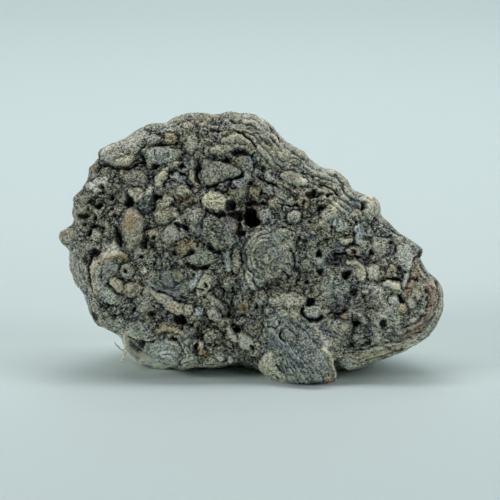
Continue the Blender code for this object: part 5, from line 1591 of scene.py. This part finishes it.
class ShaderTree:
    """A material's node tree, written as expressions. What adds a node gives back its wire."""

    def __init__(self, name):
        self.material = bpy.data.materials.new(name)
        self.material.use_nodes = True
        self.nodes = self.material.node_tree.nodes
        self.links = self.material.node_tree.links
        self.shader = self.nodes["Principled BSDF"]

    def feed(self, socket, value):
        """Links a socket to another, or sets it to a number or a colour."""
        if isinstance(value, Wire):
            self.links.new(value.socket, socket)
        else:
            socket.default_value = value

    def node(self, kind, output=0, settings=(), sockets=()):
        """Adds a node of any kind: its settings first, then its sockets' values or links."""
        made = self.nodes.new(kind)
        for name, value in dict(settings).items():
            if name == "stops":
                set_stops(made.color_ramp.elements, value)
            else:
                setattr(made, name, value)
        for name, value in dict(sockets).items():
            self.feed(made.inputs[name], value)
        return Wire(self, made.outputs[output])

    def sum(self, operation, first, second):
        return self.node("ShaderNodeMath", 0, {"operation": operation}, {0: first, 1: second})

    def clamped(self, value):
        return self.node("ShaderNodeClamp", 0, {}, {"Value": value, "Min": 0.0, "Max": 1.0})

    def blend(self, share, first, second):
        """Mixes two colours."""
        settings = {"data_type": "RGBA", "blend_type": "MIX", "clamp_factor": True}
        return self.node("ShaderNodeMix", 2, settings, {0: share, 6: first, 7: second})

    def scaled(self, vector, factor):
        settings = {"operation": "SCALE"}
        return self.node("ShaderNodeVectorMath", 0, settings, {0: vector, "Scale": factor})

    def vector(self, operation, first, second=(0.0, 0.0, 0.0)):
        settings = {"operation": operation}
        return self.node("ShaderNodeVectorMath", 0, settings, {0: first, 1: second})

    def first_channel(self, colour):
        """One number from 0 to 1 out of a cell's random colour."""
        return self.node("ShaderNodeSeparateColor", 0, {}, {0: colour})

    def attribute(self, name, output="Fac"):
        return self.node("ShaderNodeAttribute", output, {"attribute_name": name})

    def noise(self, place, size, detail):
        sockets = {"Vector": place, "Scale": 1 / size, "Detail": detail, "Roughness": 0.6}
        return self.node("ShaderNodeTexNoise", "Fac", {}, sockets)

    def cells(self, place, size, output):
        sockets = {"Vector": place, "Scale": 1 / size, "Randomness": 1.0}
        return self.node("ShaderNodeTexVoronoi", output, {"feature": "F1"}, sockets)

    def ramp(self, value, stops):
        return self.node("ShaderNodeValToRGB", 0, {"stops": stops}, {0: value})

    def bump(self, height, distance, normal):
        sockets = {"Height": height, "Distance": distance, "Strength": 1.0, "Normal": normal}
        return self.node("ShaderNodeBump", 0, {}, sockets)


# Sizes of the grain in the material, in millimetres, from the coarsest to the finest.
WARMTH_SIZE, MOTTLE_SIZE = 3.6, 2.2
GRAIN_SIZE, RELIEF_SIZE, SPECK_SIZE, SUGAR_SIZE = 0.42, 0.4, 0.24, 0.17
QUARTZ_IOR = 1.54
# The stone's own colours from its darkest to its lightest, cool and warm.
COOL_TONES = (
    (0.0, (0.014, 0.014, 0.014)),
    (0.25, (0.076, 0.094, 0.088)),
    (0.5, (0.225, 0.270, 0.255)),
    (0.75, (0.45, 0.51, 0.48)),
    (1.0, (0.84, 0.89, 0.83)),
)
WARM_TONES = (
    (0.0, (0.014, 0.011, 0.008)),
    (0.25, (0.100, 0.093, 0.050)),
    (0.5, (0.287, 0.282, 0.170)),
    (0.75, (0.55, 0.55, 0.38)),
    (1.0, (0.88, 0.89, 0.74)),
)


def chalcedony():
    """Grey to cream chalcedony: sugary grains, each with its own tone, and pits, cracks and seams
    painted near black: painted shade.
    """
    tree = ShaderTree("banded_chalcedony")
    place = tree.scaled(tree.node("ShaderNodeTexCoord", "Object"), 1 / MM)
    tone = tree.attribute("tone")
    pit = tree.attribute("pit")
    calm = tree.attribute("calm")
    tinted = tree.attribute("tinted")
    grain_tone = tree.first_channel(tree.cells(place, GRAIN_SIZE, "Color"))
    grain_edge = tree.cells(place, GRAIN_SIZE, "Distance") - 0.5
    speck_colour = tree.cells(place, SPECK_SIZE, "Color")
    speck_tone = tree.first_channel(speck_colour)
    sugar = tree.noise(place, SUGAR_SIZE, 2.0)
    mottle = tree.noise(place, MOTTLE_SIZE, 3.0)
    loud = 1 - 0.65 * calm
    light = 0.64 + 0.95 * tone + loud * 0.34 * (grain_tone - 0.5)
    light = light + loud * (1.35 * (speck_tone - 0.5) + 1.4 * (sugar - 0.5) - 1.1 * grain_edge)
    light = tree.clamped(light + 0.15 * (mottle - 0.5))
    cool = tree.ramp(light, COOL_TONES)
    warm = tree.ramp(light, WARM_TONES)
    warmth = 2.4 * (tree.noise(place, WARMTH_SIZE, 3.0) - 0.5) + 1.1 * (grain_tone - 0.5) + 0.62
    warmth = tree.clamped(warmth + tree.attribute("warm") + 0.8 * (light - 0.5))
    stone_colour = tree.blend(warmth, cool, warm)
    tint = tree.scaled(tree.attribute("tint", "Color"), 0.5 + 2.3 * light)
    tint_share = tree.clamped(tinted * (0.75 + 0.6 * (sugar - 0.5)))
    colour = tree.blend(tint_share, stone_colour, tint)
    # Painted shade: the colour is brought towards black where the surface carries painted shade.
    depth = tree.clamped(pit * (1.1 + 1.1 * (sugar - 0.5) - 0.7 * (speck_tone - 0.5)))
    colour = tree.scaled(colour, 1 - 0.96 * depth)
    tree.feed(tree.shader.inputs["Base Color"], colour)
    tree.feed(tree.shader.inputs["Roughness"], tree.clamped(0.55 - 0.30 * grain_tone + 0.3 * pit))
    tree.feed(tree.shader.inputs["IOR"], QUARTZ_IOR)
    # Each speck's own facet, and fine bumps on it.
    tilt = tree.scaled(tree.vector("SUBTRACT", speck_colour, (0.5, 0.5, 0.5)), 1.5 * loud)
    facing = tree.vector("ADD", tree.node("ShaderNodeNewGeometry", "Normal"), tilt)
    relief = 0.16 * tree.noise(place, RELIEF_SIZE, 4.0) + 0.16 * sugar
    bumped = tree.bump(loud * relief, MM, tree.vector("NORMALIZE", facing))
    tree.feed(tree.shader.inputs["Normal"], bumped)
    return tree.material


# The sweep that the stone stands on, the lights and the camera, in metres.
SWEEP_COLOUR = (0.672, 0.785, 0.785)
SWEEP_FRONT, SWEEP_BACK, SWEEP_BEND, SWEEP_TOP, SWEEP_HALF = -1.0, 0.55, 0.35, 1.3, 1.4
BEND_STEPS = 32
AIM = (0.0, 26.5, 0.0)  # what the camera looks at, in face millimetres
CAMERA_DROP = math.radians(14)  # how far it looks down
LENS, SENSOR = 150.0, 36.0  # in millimetres
FRAME_WIDTH = 100 * MM  # what the camera takes in at the stone
CLIP = (0.01, 10.0)  # nearest and farthest that the camera sees


def sweep():
    """A pale floor that bends up into a wall."""
    bend = [
        (SWEEP_BACK + SWEEP_BEND * math.sin(t), SWEEP_BEND * (1 - math.cos(t)))
        for t in np.linspace(0, math.pi / 2, BEND_STEPS + 1)
    ]
    profile = [(SWEEP_FRONT, 0.0)] + bend + [(SWEEP_BACK + SWEEP_BEND, SWEEP_TOP)]
    corners = [(x, y, z) for y, z in profile for x in (-SWEEP_HALF, SWEEP_HALF)]
    faces = [(2 * n, 2 * n + 1, 2 * n + 3, 2 * n + 2) for n in range(len(profile) - 1)]
    mesh = bpy.data.meshes.new("sweep")
    mesh.from_pydata(corners, [], faces)
    mesh.shade_smooth()
    tree = ShaderTree("pale_sweep")
    looks = {"Base Color": SWEEP_COLOUR + (1.0,), "Roughness": 0.9, "Specular IOR Level": 0.1}
    for name, value in looks.items():
        tree.feed(tree.shader.inputs[name], value)
    mesh.materials.append(tree.material)
    floor = bpy.data.objects.new("sweep", mesh)
    bpy.context.scene.collection.objects.link(floor)


# Softboxes: name, azimuth to the right of the camera and elevation in degrees, distance, size,
# watts.
SOFTBOXES = (
    ("left", -66, 26, 0.60, 0.20, 1.10),
    ("right_high", 72, 36, 0.60, 0.20, 0.56),
    ("right_low", 45, 22, 0.60, 0.20, 0.30),
    ("behind", 175, 66, 0.60, 0.25, 0.50),
)
SOFTBOX_TARGET = (0.0, 0.0, 0.02)
# The lamp that lights the wall of the sweep.
BACKDROP_LAMP = (0.0, 0.15, 0.85)
BACKDROP_TARGET = (0.0, 0.75, 0.25)
BACKDROP_SIZE = (1.2, 0.3)
BACKDROP_WATTS = 6.5
SKY_COLOUR, SKY_STRENGTH = (0.80, 0.86, 0.88, 1.0), 0.02


def area_lamp(name, place, target, width, height, watts):
    """A rectangular lamp that faces its target."""
    lamp = bpy.data.lights.new(name, "AREA")
    lamp.shape = "RECTANGLE"
    lamp.size, lamp.size_y = width, height
    lamp.energy = watts
    box = bpy.data.objects.new(name, lamp)
    box.location = place
    box.rotation_mode = "QUATERNION"
    box.rotation_quaternion = (Vector(target) - Vector(place)).to_track_quat("-Z", "Y")
    bpy.context.scene.collection.objects.link(box)


def lighting():
    """Four softboxes round the stone, a lamp on the backdrop and a faint sky."""
    for name, azimuth, elevation, distance, size, watts in SOFTBOXES:
        a, e = math.radians(azimuth), math.radians(elevation)
        away = Vector((math.sin(a) * math.cos(e), -math.cos(a) * math.cos(e), math.sin(e)))
        place = Vector(SOFTBOX_TARGET) + away * distance
        area_lamp(name + "_softbox", place, SOFTBOX_TARGET, size, size, watts)
    area_lamp("backdrop_lamp", BACKDROP_LAMP, BACKDROP_TARGET, *BACKDROP_SIZE, BACKDROP_WATTS)
    world = bpy.data.worlds.new("studio")
    world.use_nodes = True
    sky = world.node_tree.nodes["Background"]
    sky.inputs["Color"].default_value = SKY_COLOUR
    sky.inputs["Strength"].default_value = SKY_STRENGTH
    bpy.context.scene.world = world


def camera(place):
    """A long lens that looks a little down at the middle of the face."""
    aim = Vector(place(stood_up(np.array([AIM])))[0])
    lens = bpy.data.cameras.new("camera")
    lens.lens, lens.sensor_width = LENS, SENSOR
    lens.clip_start, lens.clip_end = CLIP
    eye = bpy.data.objects.new("camera", lens)
    back = Vector((0.0, -math.cos(CAMERA_DROP), math.sin(CAMERA_DROP)))
    eye.location = aim + back * (FRAME_WIDTH * LENS / SENSOR)
    eye.rotation_mode = "QUATERNION"
    eye.rotation_quaternion = (-back).to_track_quat("-Z", "Y")
    bpy.context.scene.collection.objects.link(eye)
    bpy.context.scene.camera = eye


placing = stone()
sweep()
lighting()
camera(placing)
bpy.context.scene.view_settings.view_transform = "Standard"
